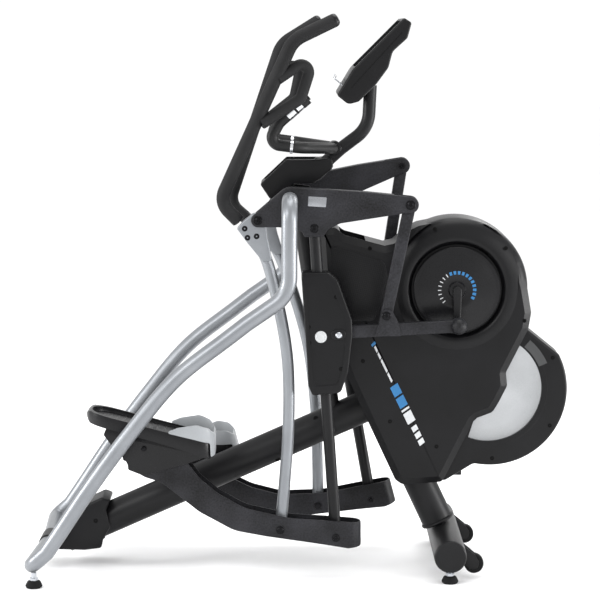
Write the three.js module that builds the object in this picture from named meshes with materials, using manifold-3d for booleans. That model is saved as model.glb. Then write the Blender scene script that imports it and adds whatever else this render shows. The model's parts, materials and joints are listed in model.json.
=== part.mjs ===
// Elliptical trainer with a front flywheel: a tubular frame, two rockers with handles and pendulums,
// two foot arms, and a belt-driven flywheel inside a two-part housing.
// Millimetres, +Z up, +X towards the flywheel, -Y is the user's right-hand side.
import * as THREE from 'three';
import { mergeVertices } from 'three/addons/utils/BufferGeometryUtils.js';
import Module from 'manifold-3d';

const wasm = await Module();
wasm.setup();

// ---------------------------------------------------------------- driving dimensions
const GAP = 0.3; // between touching pieces
const RAIL = { r: 22.5, y: 335 };
const BIG_TUBE_R = 47; // spine, front leg and stabiliser
const ARM_TUBE_R = 17; // swing arm and pendulum
const GRIP_R = 19.5; // foam-covered handle
const LEVER_Y = 185; // middle plane of rocker, pendulum, link, bar and foot arm
const PIN_R = 8;
// The rocker's bores leave room for their pins to shift.
const PIN_PLAY = { rear: 1.2, mid: 1.2, front: 3.6 };
const SHAFT_R = 15;
const CRANK_R = 95;
const HOUSE = { half: 98, wall: 4 };
const DRUM_R = 209;
const LOBE = { x: 560, z: 535, r: 226 };
const FLYWHEEL_R = 158;
const PULLEY_R = 130;
const SPINDLE_R = 26;
const STABILISER = { x: 433, z: 81, half: 282 };

// pivots of the right-hand linkage with its crank straight down, as [x, z]
const AXLE = [457, 834];
const ROCKER_PIVOT = [-29, 1105];
const REAR_PIVOT = [-120, 1046];
const MID_PIVOT = [41, 1023];
const FRONT_PIVOT = [315, 1090];
const LINK_FOOT = [248, 771];
const BAR_TAIL = [121, 721];
const BAR_NOSE = [AXLE[0], AXLE[1] - CRANK_R];
const PENDULUM_FOOT = [104, 125];
const SWING_FOOT = [0, 1].map((i) => PENDULUM_FOOT[i] + REAR_PIVOT[i] - MID_PIVOT[i]);

// ---------------------------------------------------------------- finishes
const finish = (color, roughness, metalness) => () =>
  new THREE.MeshStandardMaterial({ color, roughness, metalness });
const blackCoat = finish(0x1b1b1d, 0.5, 0.2);
const silverCoat = finish(0xa9abb0, 0.35, 0.6);
const blackPlastic = finish(0x151517, 0.45, 0);
const greyPlastic = finish(0x9a9c9f, 0.5, 0);
const foam = finish(0x232325, 0.9, 0);
const rubber = finish(0x111112, 0.85, 0);
const steel = finish(0xb9bbbe, 0.3, 0.9);
const beltRubber = finish(0x18181a, 0.8, 0);

// ---------------------------------------------------------------- solids
function toSolid(geometry) {
  const g = geometry.clone();
  g.deleteAttribute('normal');
  g.deleteAttribute('uv');
  const merged = mergeVertices(g, 1e-3);
  const corners = [];
  for (let i = 0; i < merged.index.count; i += 3) {
    const [a, b, c] = [0, 1, 2].map((k) => merged.index.getX(i + k));
    if (a !== b && b !== c && c !== a) corners.push(a, b, c);
  }
  return new wasm.Manifold(new wasm.Mesh({
    numProp: 3,
    vertProperties: new Float32Array(merged.attributes.position.array),
    triVerts: new Uint32Array(corners),
  }));
}

function toGeometry(solid) {
  const mesh = solid.getMesh();
  const g = new THREE.BufferGeometry();
  g.setAttribute('position', new THREE.BufferAttribute(mesh.vertProperties, 3));
  g.setIndex(new THREE.BufferAttribute(mesh.triVerts, 1));
  g.computeVertexNormals();
  return g;
}

const join = (...parts) => parts.map(toSolid).reduce((a, b) => a.add(b));
const asSolid = (part) => (part instanceof THREE.BufferGeometry ? toSolid(part) : part);
const cut = (body, ...tools) => tools.map(asSolid).reduce((a, b) => a.subtract(b), asSolid(body));

// ---------------------------------------------------------------- shape helpers
// A path whose sections lie exactly at its listed points.
class BentPath extends THREE.Curve {
  constructor(points) {
    super();
    this.points = points;
  }

  getPoint(t) {
    const last = this.points.length - 1;
    const i = Math.min(Math.floor(t * last), last - 1);
    return this.points[i].clone().lerp(this.points[i + 1], t * last - i);
  }

  getPointAt(u) {
    return this.getPoint(u);
  }

  getTangentAt(u) {
    const p = this.points;
    const i = Math.round(u * (p.length - 1));
    const along = new THREE.Vector3();
    if (i > 0) along.add(p[i].clone().sub(p[i - 1]).normalize());
    if (i < p.length - 1) along.add(p[i + 1].clone().sub(p[i]).normalize());
    return along.normalize();
  }
}

// Rounds each inner corner of a polyline with an arc-like bend of the given radius.
function bend(corners, radius, steps = 4) {
  const pts = corners.map((c) => new THREE.Vector3(...c));
  const out = [pts[0]];
  for (let i = 1; i < pts.length - 1; i++) {
    const toPrev = pts[i - 1].clone().sub(pts[i]);
    const toNext = pts[i + 1].clone().sub(pts[i]);
    const half = toPrev.angleTo(toNext) / 2;
    const reach = Math.min(radius / Math.tan(half), toPrev.length() * 0.48, toNext.length() * 0.48);
    const start = pts[i].clone().addScaledVector(toPrev.normalize(), reach);
    const end = pts[i].clone().addScaledVector(toNext.normalize(), reach);
    out.push(...new THREE.QuadraticBezierCurve3(start, pts[i], end).getPoints(steps));
  }
  out.push(pts[pts.length - 1]);
  return out;
}

function smooth(corners, steps) {
  return new THREE.CatmullRomCurve3(corners.map((c) => new THREE.Vector3(...c))).getPoints(steps);
}

function tube(points, radius, sides = 10) {
  const section = new THREE.Shape();
  for (let i = 0; i < sides; i++) {
    const a = (2 * Math.PI * i) / sides;
    if (i) section.lineTo(radius * Math.cos(a), radius * Math.sin(a));
    else section.moveTo(radius, 0);
  }
  const extrudePath = new BentPath(points);
  return new THREE.ExtrudeGeometry(section, { steps: points.length - 1, extrudePath });
}

const outline = (points) => new THREE.Shape(points.map(([x, z]) => new THREE.Vector2(x, z)));

// A side-view outline made into a slab from y0 to y1.
function slab(shape, y0, y1, bevel = 0, curveSegments = 6) {
  const depth = Math.abs(y1 - y0) - 2 * bevel;
  const g = new THREE.ExtrudeGeometry(shape, {
    depth,
    curveSegments,
    bevelEnabled: bevel > 0,
    bevelThickness: bevel,
    bevelSize: bevel,
    bevelOffset: -bevel,
    bevelSegments: 1,
  });
  g.rotateX(Math.PI / 2);
  g.translate(0, Math.max(y0, y1) - bevel, 0);
  return g;
}

// A round piece along Y through (x, z); steps lists [distance along y, radius].
function turned([x, z], side, steps, sides = 16) {
  const profile = [[steps[0][0], 0], ...steps, [steps[steps.length - 1][0], 0]];
  const g = new THREE.LatheGeometry(profile.map(([y, r]) => new THREE.Vector2(r, y)), sides);
  if (side < 0) g.rotateX(Math.PI);
  g.translate(x, 0, z);
  return g;
}

const bar = ([x, z], y0, y1, r, sides = 16) =>
  new THREE.CylinderGeometry(r, r, Math.abs(y1 - y0), sides).translate(x, (y0 + y1) / 2, z);

const block = (x0, x1, y0, y1, z0, z1) =>
  new THREE.BoxGeometry(x1 - x0, Math.abs(y1 - y0), z1 - z0)
    .translate((x0 + x1) / 2, (y0 + y1) / 2, (z0 + z1) / 2);

const machine = new THREE.Group();

function add(name, shape, material, place) {
  const geometry = shape instanceof THREE.BufferGeometry ? shape : toGeometry(shape);
  const mesh = new THREE.Mesh(geometry, material());
  mesh.name = name;
  if (place) {
    geometry.translate(-place.from[0], 0, -place.from[1]);
    mesh.position.set(place.to[0], 0, place.to[1]);
    mesh.rotation.y = -place.angle;
  }
  machine.add(mesh);
}

// ---------------------------------------------------------------- linkage
const turn = ([x, z], a) => [x * Math.cos(a) - z * Math.sin(a), x * Math.sin(a) + z * Math.cos(a)];
const plus = (a, b) => [a[0] + b[0], a[1] + b[1]];
const minus = (a, b) => [a[0] - b[0], a[1] - b[1]];
const distance = (a, b) => Math.hypot(...minus(a, b));
const heading = (a, b) => Math.atan2(b[1] - a[1], b[0] - a[0]);
const swung = (point, pivot, now, angle) => plus(now, turn(minus(point, pivot), angle));

// Where two circles meet, on the side away from the axle.
function meet(a, ra, b, rb) {
  const d = distance(a, b);
  const along = (ra * ra - rb * rb + d * d) / (2 * d);
  const across = Math.sqrt(Math.max(ra * ra - along * along, 0));
  const [ux, uz] = minus(b, a).map((v) => v / d);
  return [a[0] + along * ux - across * uz, a[1] + along * uz + across * ux];
}

// Every pivot and angle of one side for a given lift of its rocker.
function linkageAt(lift, nose) {
  const mid = swung(MID_PIVOT, ROCKER_PIVOT, ROCKER_PIVOT, lift);
  const front = swung(FRONT_PIVOT, ROCKER_PIVOT, ROCKER_PIVOT, lift);
  const rear = swung(REAR_PIVOT, ROCKER_PIVOT, ROCKER_PIVOT, lift);
  const linkFoot = meet(nose, distance(BAR_NOSE, LINK_FOOT), front, distance(FRONT_PIVOT, LINK_FOOT));
  const barAngle = heading(linkFoot, nose) - heading(LINK_FOOT, BAR_NOSE);
  const tail = swung(BAR_TAIL, BAR_NOSE, nose, barAngle);
  const error = distance(tail, mid) - distance(BAR_TAIL, MID_PIVOT);
  const pendulumAngle = heading(mid, tail) - heading(MID_PIVOT, BAR_TAIL);
  const linkAngle = heading(front, linkFoot) - heading(FRONT_PIVOT, LINK_FOOT);
  const foot = swung(PENDULUM_FOOT, MID_PIVOT, mid, pendulumAngle);
  return { lift, rear, mid, front, linkFoot, tail, foot, barAngle, linkAngle, pendulumAngle, error };
}

// The rocker's lift with its crank straight up, found by halving the interval.
function liftedLinkage() {
  const nose = [AXLE[0], AXLE[1] + CRANK_R];
  let low = THREE.MathUtils.degToRad(8);
  let high = THREE.MathUtils.degToRad(24);
  const lowSign = Math.sign(linkageAt(low, nose).error);
  for (let i = 0; i < 40; i++) {
    const middle = (low + high) / 2;
    if (Math.sign(linkageAt(middle, nose).error) === lowSign) low = middle;
    else high = middle;
  }
  return linkageAt(low, nose);
}

// ---------------------------------------------------------------- frame
function addFrame() {
  for (const [name, s] of [['right', -1], ['left', 1]]) {
    // one bent tube: rocker shaft socket, upright, long curve to the floor, rear cross tube
    const y = s * RAIL.y;
    const path = [
      ...bend([[ROCKER_PIVOT[0], s * 218, ROCKER_PIVOT[1]], [ROCKER_PIVOT[0], y, 1106],
        [-30, y, 1000]], 60),
      ...bend([[-30, y, 950], [-30, y, 848], [-150, y, 765]], 75),
      ...smooth([[-194, y, 731], [-349, y, 609], [-472, y, 463], [-587, y, 308], [-682, y, 166]], 7),
      ...bend([[-722, y, 107], [-768, y, 67], [-752, s * 52, 67]], 55),
    ];
    add(`${name}_rail`, tube(path, RAIL.r), silverCoat);
  }
  const spine = [[-700, 0, 79], [66, 0, 418]];
  const socket = new THREE.CylinderGeometry(23, 23, 99, 12).translate(-751, 0, 67);
  const spineTube = join(
    tube([new THREE.Vector3(...spine[0]), new THREE.Vector3(300, 0, 521)], BIG_TUBE_R, 24),
    block(-760, -690, -20, 20, 60, 83),
    socket,
  );
  const legAxis = [new THREE.Vector3(255, 0, 462), new THREE.Vector3(420, 0, 112)];
  const legSolid = toSolid(tube(legAxis, BIG_TUBE_R, 24));
  const fatSpine = toSolid(tube([new THREE.Vector3(...spine[0]), new THREE.Vector3(300.5, 0, 521.3)],
    BIG_TUBE_R + GAP * 2, 24));
  const stabiliserTube = bar([STABILISER.x, STABILISER.z], -STABILISER.half, STABILISER.half,
    BIG_TUBE_R, 28);
  const fatStabiliser = bar([STABILISER.x, STABILISER.z], -300, 300, BIG_TUBE_R + GAP * 2, 28);
  add('spine_tube', spineTube, blackCoat);
  // two plates on the leg carry the crank axle and the flywheel
  const carrier = outline([[240, 452], [340, 440], [556, 514], [578, 538], [556, 560], [478, 600],
    [486, 834], [457, 866], [428, 834], [330, 600]]);
  const plates = [-1, 1].map((s) => slab(carrier, s * 70, s * 75));
  const legFrame = join(...plates, block(252, 330, -75, 75, 438, 470)).add(legSolid);
  add('front_leg', cut(legFrame, fatSpine, fatStabiliser, bar(AXLE, -90, 90, 14),
    bar([LOBE.x - 6, LOBE.z + 3], -90, 90, 11)), blackCoat);
  const ears = [-1, 1].flatMap((s) => [172, 208].map((y) =>
    slab(outline([[455, 60], [494, 30], [516, 32], [520, 50], [508, 72], [470, 104], [450, 112]]),
      s * y - 2, s * y + 2)));
  add('front_stabiliser', join(stabiliserTube, ...ears), blackCoat);

  const post = [[4, 0, 1068], [4, 0, 1040], [96, 0, 445]].map((p) => new THREE.Vector3(...p));
  const postTube = tube([post[0], post[1], post[2]], 26, 16);
  const collar = bar(ROCKER_PIVOT, -60, 60, 30, 24);
  const bore = bar(ROCKER_PIVOT, -70, 70, SHAFT_R + GAP * 1.5);
  const knee = slab(outline([[-30, 1075], [30, 1060], [30, 1130], [-30, 1136]]), -26, 26);
  const postSolid = join(postTube, collar, knee);
  add('centre_post', cut(postSolid, bore, fatSpine), blackCoat);
  add('rocker_shaft', bar(ROCKER_PIVOT, -217.5, 217.5, SHAFT_R), steel);

  // plastic shroud over the joint of rails and spine, a shell that is open underneath
  const shroud = [[-722, 52], [-716, 120], [-655, 178], [-580, 212], [-562, 205], [-575, 130],
    [-590, 60], [-605, 50]];
  const shroudCore = [[-728, 40], [-716, 100], [-655, 168], [-583, 201], [-560, 196], [-560, 40]];
  const shroudSolid = cut(slab(outline(shroud), -64, 64, 8), slab(outline(shroudCore), -55, 55),
    bar([-751, 67], -80, 80, 36, 16), fatSpine);
  add('rear_cover', shroudSolid, blackPlastic);

  const foot = (x, s, y, top) => turned([0, 0], 1, [[0, 22], [6, 24], [20, 19], [22, 8], [top, 8]], 16)
    .rotateX(Math.PI / 2).translate(x, s * y, 0);
  for (const [name, s] of [['right', -1], ['left', 1]]) {
    add(`rear_${name}_foot`, foot(-762, s, 308, 67 - RAIL.r + 0.2 - GAP), rubber);
    add(`front_${name}_foot`, foot(STABILISER.x, s, 255, STABILISER.z - BIG_TUBE_R - GAP), rubber);
    const axle = [506, 44];
    const rim = [[-14, 26], [-11, 28.5], [11, 28.5], [14, 26]].map(([y, r]) => [y + s * 190, r]);
    add(`${name}_transport_wheel`, turned(axle, 1, rim), rubber);
  }
}

// ---------------------------------------------------------------- drive
function addDrive() {
  const reach = 104;
  add('crank_axle', bar(AXLE, -reach, reach, 12, 24), steel);
  const web = join(bar(AXLE, -9, 9, PULLEY_R, 28), bar(AXLE, -22, 22, 34));
  add('drive_pulley', cut(web, bar(AXLE, -40, 40, 12.2, 24)), blackPlastic);
  const hub = [LOBE.x - 6, LOBE.z + 3];
  add('flywheel', join(bar(hub, 14, 56, FLYWHEEL_R, 32), bar(hub, -12, 20, SPINDLE_R),
    bar(hub, -79, 79, 9, 12)), steel);
  add('drive_belt', belt(AXLE, PULLEY_R + GAP * 6, hub, SPINDLE_R + GAP * 6), beltRubber);
  const around = new THREE.Shape();
  around.absarc(hub[0], hub[1], FLYWHEEL_R + 22, 2.2, 3.6, false);
  around.absarc(hub[0], hub[1], FLYWHEEL_R + 4, 3.6, 2.2, true);
  add('magnet_bracket', slab(around, 8, 69.7), steel);
  for (const [name, s] of [['right', -1], ['left', 1]]) {
    const crank = s < 0 ? -1 : 1;
    const tip = [AXLE[0], AXLE[1] + crank * CRANK_R];
    const face = HOUSE.half + 6;
    add(`${name}_crank_disc`, turned(AXLE, s, [[face, 124], [face + 3, 127], [face + 8, 127],
      [face + 10, 122]], 32), blackPlastic);
    const arm = cut(join(
      slab(outline([[-22, 0], [-19, crank * CRANK_R], [19, crank * CRANK_R], [22, 0]]
        .map((p) => plus(p, AXLE))), s * (face + 10.6), s * (face + 24)),
      bar(AXLE, s * (face + 10.6), s * (face + 24), 26, 24),
      bar(tip, s * (face + 10.6), s * (face + 24), 21, 24),
    ));
    add(`${name}_crank_arm`, arm, blackCoat);
  }
}

// Flat belt round two pulleys on their common middle plane.
function belt(a, ra, b, rb) {
  const lean = heading(a, b);
  const wrap = Math.acos((ra - rb) / distance(a, b));
  const loop = (grow) => {
    const shape = new THREE.Shape();
    shape.absarc(a[0], a[1], ra + grow, lean + wrap, lean - wrap + 2 * Math.PI, false);
    shape.absarc(b[0], b[1], rb + grow, lean - wrap, lean + wrap, false);
    return shape;
  };
  const band = loop(3);
  band.holes.push(loop(0));
  return slab(band, -8, 8, 0, 10);
}

// ---------------------------------------------------------------- housing
function housingOutline(inset = 0) {
  const start = Math.PI * 0.82;
  const shape = new THREE.Shape();
  shape.moveTo(52 + inset, 1016 - inset);
  shape.lineTo(104 - inset / 2, 1016 - inset);
  shape.quadraticCurveTo(128, 994 - inset, 152, 990 - inset);
  shape.lineTo(262, 958 - inset);
  shape.absarc(AXLE[0], AXLE[1], DRUM_R - inset, start, 0.12, true);
  shape.absarc(LOBE.x, LOBE.z, LOBE.r - inset, 0.4, -1.78, true);
  shape.lineTo(428 - inset, 258 + inset);
  shape.lineTo(302 + inset, 251 + inset);
  shape.lineTo(279 + inset, 268 + inset);
  shape.lineTo(217 + inset, 405);
  shape.lineTo(142 + inset, 569);
  shape.lineTo(70 + inset, 760);
  return shape;
}

function addHousing() {
  const windowArc = new THREE.Shape();
  windowArc.absarc(LOBE.x - 6, LOBE.z + 3, FLYWHEEL_R - 6, 1.02, -1.9, true);
  windowArc.quadraticCurveTo(560, 470, 612, 520);
  windowArc.quadraticCurveTo(590, 590, 630, 662);
  const { half, wall } = HOUSE;
  const drumBand = bar(AXLE, -half - 7, half + 7, DRUM_R - 6, 36);
  const recess = [-1, 1].map((s) => bar(AXLE, s * (half + 2), s * (half + 20), 152, 36));
  const body = toSolid(slab(housingOutline(), -half, half, 9, 8)).add(toSolid(drumBand));
  const core = toSolid(slab(housingOutline(wall), -half + wall, half - wall, 0, 8));
  const window = slab(windowArc, -half - 10, half + 10);
  const spineHole = tube([new THREE.Vector3(-700, 0, 79), new THREE.Vector3(320, 0, 530)],
    BIG_TUBE_R + 1, 24);
  const legHole = tube([new THREE.Vector3(255, 0, 462), new THREE.Vector3(430, 0, 91)],
    BIG_TUBE_R + 1, 24);
  const postHole = block(-20, 80, -28, 28, 900, 1100);
  const postSlot = tube([new THREE.Vector3(0, 0, 1066), new THREE.Vector3(96, 0, 445)], 28, 16);
  const inletHole = block(454.7, 481.3, -14.3, 14.3, 200, 330);
  const axleBore = bar(AXLE, -200, 200, 14, 24);
  const shell = cut(body, core, window, spineHole, legHole, postHole, postSlot, axleBore,
    inletHole, ...recess);
  const keep = 1000;
  const halves = { right: block(-200, 900, -keep, -GAP / 2, 0, 1400),
    left: block(-200, 900, GAP / 2, keep, 0, 1400) };
  for (const [name, piece] of Object.entries(halves)) {
    add(`${name}_housing`, shell.intersect(toSolid(piece)), blackPlastic);
  }
}

// ---------------------------------------------------------------- one side's linkage
function pinThrough([x, z], s, y0, y1, headR = 13) {
  const steps = [[y0 - 6, headR - 1], [y0 - GAP, headR - 1], [y0 - GAP, PIN_R], [y1 + GAP, PIN_R],
    [y1 + GAP, headR], [y1 + 6, headR - 2]];
  return turned([x, z], s, steps, 8);
}

function addSide(name, s, pose) {
  const y = (d) => s * (LEVER_Y + d);
  const at = (from, to, angle) => ({ from, to, angle });
  const bore = (p, r = PIN_R) => bar(p, s * 100, s * 270, r + GAP * 3, 8);

  // rocker: a folded plate box, open underneath
  const plate = new THREE.Shape();
  plate.moveTo(-122, 1026);
  plate.absarc(REAR_PIVOT[0], REAR_PIVOT[1], 20, -1.7, -4.2, true);
  plate.quadraticCurveTo(-44, 1142, -20, 1141);
  plate.lineTo(188, 1127);
  plate.absarc(FRONT_PIVOT[0], FRONT_PIVOT[1], 24, 1.5, -1.9, true);
  plate.lineTo(114, 1037);
  plate.quadraticCurveTo(84, 1024, 66, 998);
  plate.lineTo(14, 998);
  plate.quadraticCurveTo(0, 1018, -60, 1026);
  const hollow = slab(plate, y(-20), y(20)).translate(0, 0, -8);
  const rearGap = block(-160, -78, y(-20), y(20), 980, 1160);
  const frontGap = block(262, 360, y(-20), y(20), 1020, 1140);
  const hub = toSolid(bar(ROCKER_PIVOT, y(-22), y(22), 24, 24));
  const rockerSolid = cut(slab(plate, y(-25), y(25)), hollow, rearGap, frontGap).add(hub);
  const rocker = cut(rockerSolid, bar(ROCKER_PIVOT, s * 100, s * 270, SHAFT_R + GAP * 1.5),
    bore(REAR_PIVOT, PIN_R + PIN_PLAY.rear), bore(MID_PIVOT, PIN_R + PIN_PLAY.mid),
    bore(FRONT_PIVOT, PIN_R + PIN_PLAY.front));
  add(`${name}_rocker`, rocker, blackCoat, at(ROCKER_PIVOT, ROCKER_PIVOT, pose.lift));
  const span = [LEVER_Y - 25, LEVER_Y + 25];
  const pins = { rear: [REAR_PIVOT, pose.rear, 13], mid: [MID_PIVOT, pose.mid, 13],
    front: [FRONT_PIVOT, pose.front, 16] };
  for (const [which, [from, to, headR]] of Object.entries(pins)) {
    add(`${name}_${which}_pin`, pinThrough(from, s, ...span, headR), steel, at(from, to, 0));
  }

  // link between the rocker's nose and the drive bar
  const linkAxis = heading(FRONT_PIVOT, LINK_FOOT);
  const side = turn([0, 17], linkAxis);
  const linkPlate = [plus(FRONT_PIVOT, side), plus(LINK_FOOT, side), minus(LINK_FOOT, side),
    minus(FRONT_PIVOT, side)];
  const link = cut(join(slab(outline(linkPlate), y(-13), y(13)), bar(FRONT_PIVOT, y(-16), y(16), 18),
    bar(LINK_FOOT, y(-13), y(13), 17)), bore(FRONT_PIVOT), bore(LINK_FOOT));
  add(`${name}_link`, link, blackCoat, at(FRONT_PIVOT, pose.front, pose.linkAngle));
  add(`${name}_link_pin`, pinThrough(LINK_FOOT, s, LEVER_Y - 19, LEVER_Y + 19), steel,
    at(LINK_FOOT, pose.linkFoot, 0));

  // drive bar with its fork, nose bearing and crank pin
  const tailZ = BAR_TAIL[1];
  const noseZ = BAR_NOSE[1];
  const barPlate = [[BAR_TAIL[0] - 12, tailZ - 18], [BAR_NOSE[0], noseZ - 18],
    [BAR_NOSE[0], noseZ + 18], [BAR_TAIL[0] - 12, tailZ + 18]];
  const fork = [[216, 712], [292, 712], [284, 748], [264, 790], [236, 790], [230, 748]];
  const slot = block(150, 330, y(-14), y(14), 744 + 8, 900);
  const forkWalls = cut(slab(outline(fork), y(-19), y(19)), slot);
  const nose = turned(BAR_NOSE, s, [[129, 10], [166, 10], [166, 23], [186, 23], [186, 25], [206, 24],
    [216, 17], [220, 8]]);
  const driveBar = toSolid(slab(outline(barPlate), y(-15), y(15))).add(forkWalls).add(toSolid(nose));
  add(`${name}_drive_bar`, cut(driveBar, bore(LINK_FOOT)), blackCoat,
    at(LINK_FOOT, pose.linkFoot, pose.barAngle));

  // pendulum tube with the two lugs that hold the drive bar's tail
  const hang = [MID_PIVOT, PENDULUM_FOOT].map(([x, z]) => new THREE.Vector3(x, y(0), z));
  const lugs = [-23, 23].map((d) => slab(outline([[50, 760], [121, 743], [143, 721], [121, 699],
    [50, 690]]), y(d - 2.5), y(d + 2.5)));
  const lugWeb = block(52, 72, y(-24), y(24), 694, 752);
  const pendulum = cut(join(tube(hang, ARM_TUBE_R - 0.5), bar(MID_PIVOT, y(-18), y(18), 20),
    bar(PENDULUM_FOOT, y(-18), y(18), 18), lugWeb, ...lugs), bore(MID_PIVOT), bore(PENDULUM_FOOT));
  add(`${name}_pendulum`, pendulum, blackCoat, at(MID_PIVOT, pose.mid, pose.pendulumAngle));

  // two-wall plastic cover round the joint, open where the tube and the bar pass
  const cover = [[4, 882], [4, 898], [82, 897], [109, 873], [149, 761], [151, 720], [139, 610],
    [117, 549], [36, 541], [24, 569], [18, 680]];
  const inner = [[9, 884], [9, 893], [80, 892], [105, 871], [144, 760], [146, 720], [134, 611],
    [113, 554], [39, 546], [29, 570], [23, 680]];
  const passage = tube([hang[0], hang[1]], ARM_TUBE_R + 2);
  const barSlot = block(96, 170, y(-23), y(23), 600, 816);
  const jointCover = cut(slab(outline(cover), y(-33), y(36), 3), slab(outline(inner), y(-29), y(32)),
    passage, barSlot);
  add(`${name}_joint_cover`, jointCover, blackPlastic, at(MID_PIVOT, pose.mid, pose.pendulumAngle));

  // silver swing arm with the lug that hangs it from the rocker and the clamp for the handle
  const sweep = smooth([[-163, y(0), 1028], [-128, y(0), 985], [-96, y(0), 930], [-62, y(0), 800],
    [-36, y(0), 640], [-33, y(0), 460], [-44, y(0), 290], [SWING_FOOT[0], y(0), SWING_FOOT[1]]], 14);
  const clampPlate = outline([[-178, 1022], [-158, 1043], [-134, 1064], [-108, 1064], [-99, 1046],
    [-92, 990], [-80, 930], [-105, 925], [-150, 980]]);
  const swing = cut(join(tube(sweep, ARM_TUBE_R), slab(clampPlate, y(-18), y(18)),
    bar(REAR_PIVOT, y(-18), y(18), 18), bar(SWING_FOOT, y(-18), y(18), 15)),
  bore(REAR_PIVOT), bore(SWING_FOOT));
  add(`${name}_swing_arm`, swing, silverCoat, at(REAR_PIVOT, pose.rear, pose.pendulumAngle));

  // handle: outer grip tube that bends forward at the top, and an inner loop for a second grip
  const clampEnd = [-179, y(0), 1045];
  const grip = bend([clampEnd, [-229, y(16), 1098], [-20, y(66), 1556], [96, y(66), 1612]], 60);
  const loop = bend([[-58, y(58), 1466], [24, y(32), 1509], [-10, y(30), 1400], [-110, y(50), 1345]],
    26);
  const handle = join(tube(grip, GRIP_R), tube(loop, 16.5, 8));
  add(`${name}_handle`, handle, foam, at(REAR_PIVOT, pose.rear, pose.pendulumAngle));

  addFoot(name, s, pose, y, at, bore);
}

// ---------------------------------------------------------------- foot arm, footplate and toe guard
function addFoot(name, s, pose, y, at, bore) {
  const channel = new THREE.Shape();
  channel.moveTo(177, 98);
  channel.lineTo(177, 168);
  channel.lineTo(70, 176);
  channel.quadraticCurveTo(-110, 190, -238, 256);
  channel.lineTo(-300, 306);
  channel.lineTo(-330, 352);
  channel.lineTo(-500, 410);
  channel.lineTo(-522, 386);
  channel.lineTo(-507, 359);
  channel.lineTo(-492, 328);
  channel.lineTo(-447, 303);
  channel.lineTo(-400, 288);
  channel.lineTo(-291, 201);
  channel.quadraticCurveTo(-200, 148, -99, 129);
  channel.lineTo(140, 93);
  const plan = (half, nose) => {
    const shape = new THREE.Shape();
    shape.moveTo(-600, -half);
    shape.lineTo(nose - half, -half);
    shape.absarc(nose - half, 0, half, -Math.PI / 2, Math.PI / 2, false);
    shape.lineTo(-600, half);
    return new THREE.ExtrudeGeometry(shape, { depth: 600, bevelEnabled: false, curveSegments: 5 })
      .translate(0, y(0), 0);
  };
  const outer = toSolid(slab(channel, y(-35), y(35))).intersect(toSolid(plan(35, 177)));
  const trench = toSolid(slab(channel, y(-31), y(31)).translate(4, 0, 7))
    .intersect(toSolid(plan(31, 173)));
  const foot = cut(outer, trench, bore(PENDULUM_FOOT), bore(SWING_FOOT, PIN_R));
  const place = at(PENDULUM_FOOT, pose.foot, pose.lift);
  add(`${name}_foot_arm`, foot, blackCoat, place);
  add(`${name}_foot_pin`, pinThrough(PENDULUM_FOOT, s, LEVER_Y - 35, LEVER_Y + 35), steel,
    at(PENDULUM_FOOT, pose.foot, 0));

  // footplate: a long tray with a rim, tilted down towards its toe end
  const length = 352;
  const half = 84;
  const tilt = 0.345;
  const rounded = (grow, depth, lift) => {
    const shape = new THREE.Shape();
    const corner = 42 + grow;
    const [a, b] = [length / 2 + grow, half + grow];
    shape.moveTo(-a + corner, -b);
    shape.lineTo(a - corner, -b);
    shape.absarc(a - corner, -b + corner, corner, -Math.PI / 2, 0, false);
    shape.absarc(a - corner, b - corner, corner, 0, Math.PI / 2, false);
    shape.absarc(-a + corner, b - corner, corner, Math.PI / 2, Math.PI, false);
    shape.absarc(-a + corner, -b + corner, corner, Math.PI, 1.5 * Math.PI, false);
    return new THREE.ExtrudeGeometry(shape, { depth, bevelEnabled: false, curveSegments: 4 })
      .translate(0, 0, lift);
  };
  const seat = (g) => g.rotateY(tilt).translate(-424, y(-5), 440);
  const tray = cut(seat(rounded(0, 42, -20)), seat(rounded(-7, 30, 14)));
  add(`${name}_footplate`, cut(tray, toSolid(slab(channel, y(-36), y(36)))), blackPlastic, place);

  const guardSide = outline([[-372, 425], [-340, 478], [-290, 482], [-262, 470], [-244, 412],
    [-246, 372], [-330, 395]]);
  const ring = cut(seat(rounded(6, 90, -30)), seat(rounded(0.6, 110, -40)));
  const guard = ring.intersect(toSolid(slab(guardSide, y(-110), y(110))));
  add(`${name}_toe_guard`, guard, greyPlastic, place);
}

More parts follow.
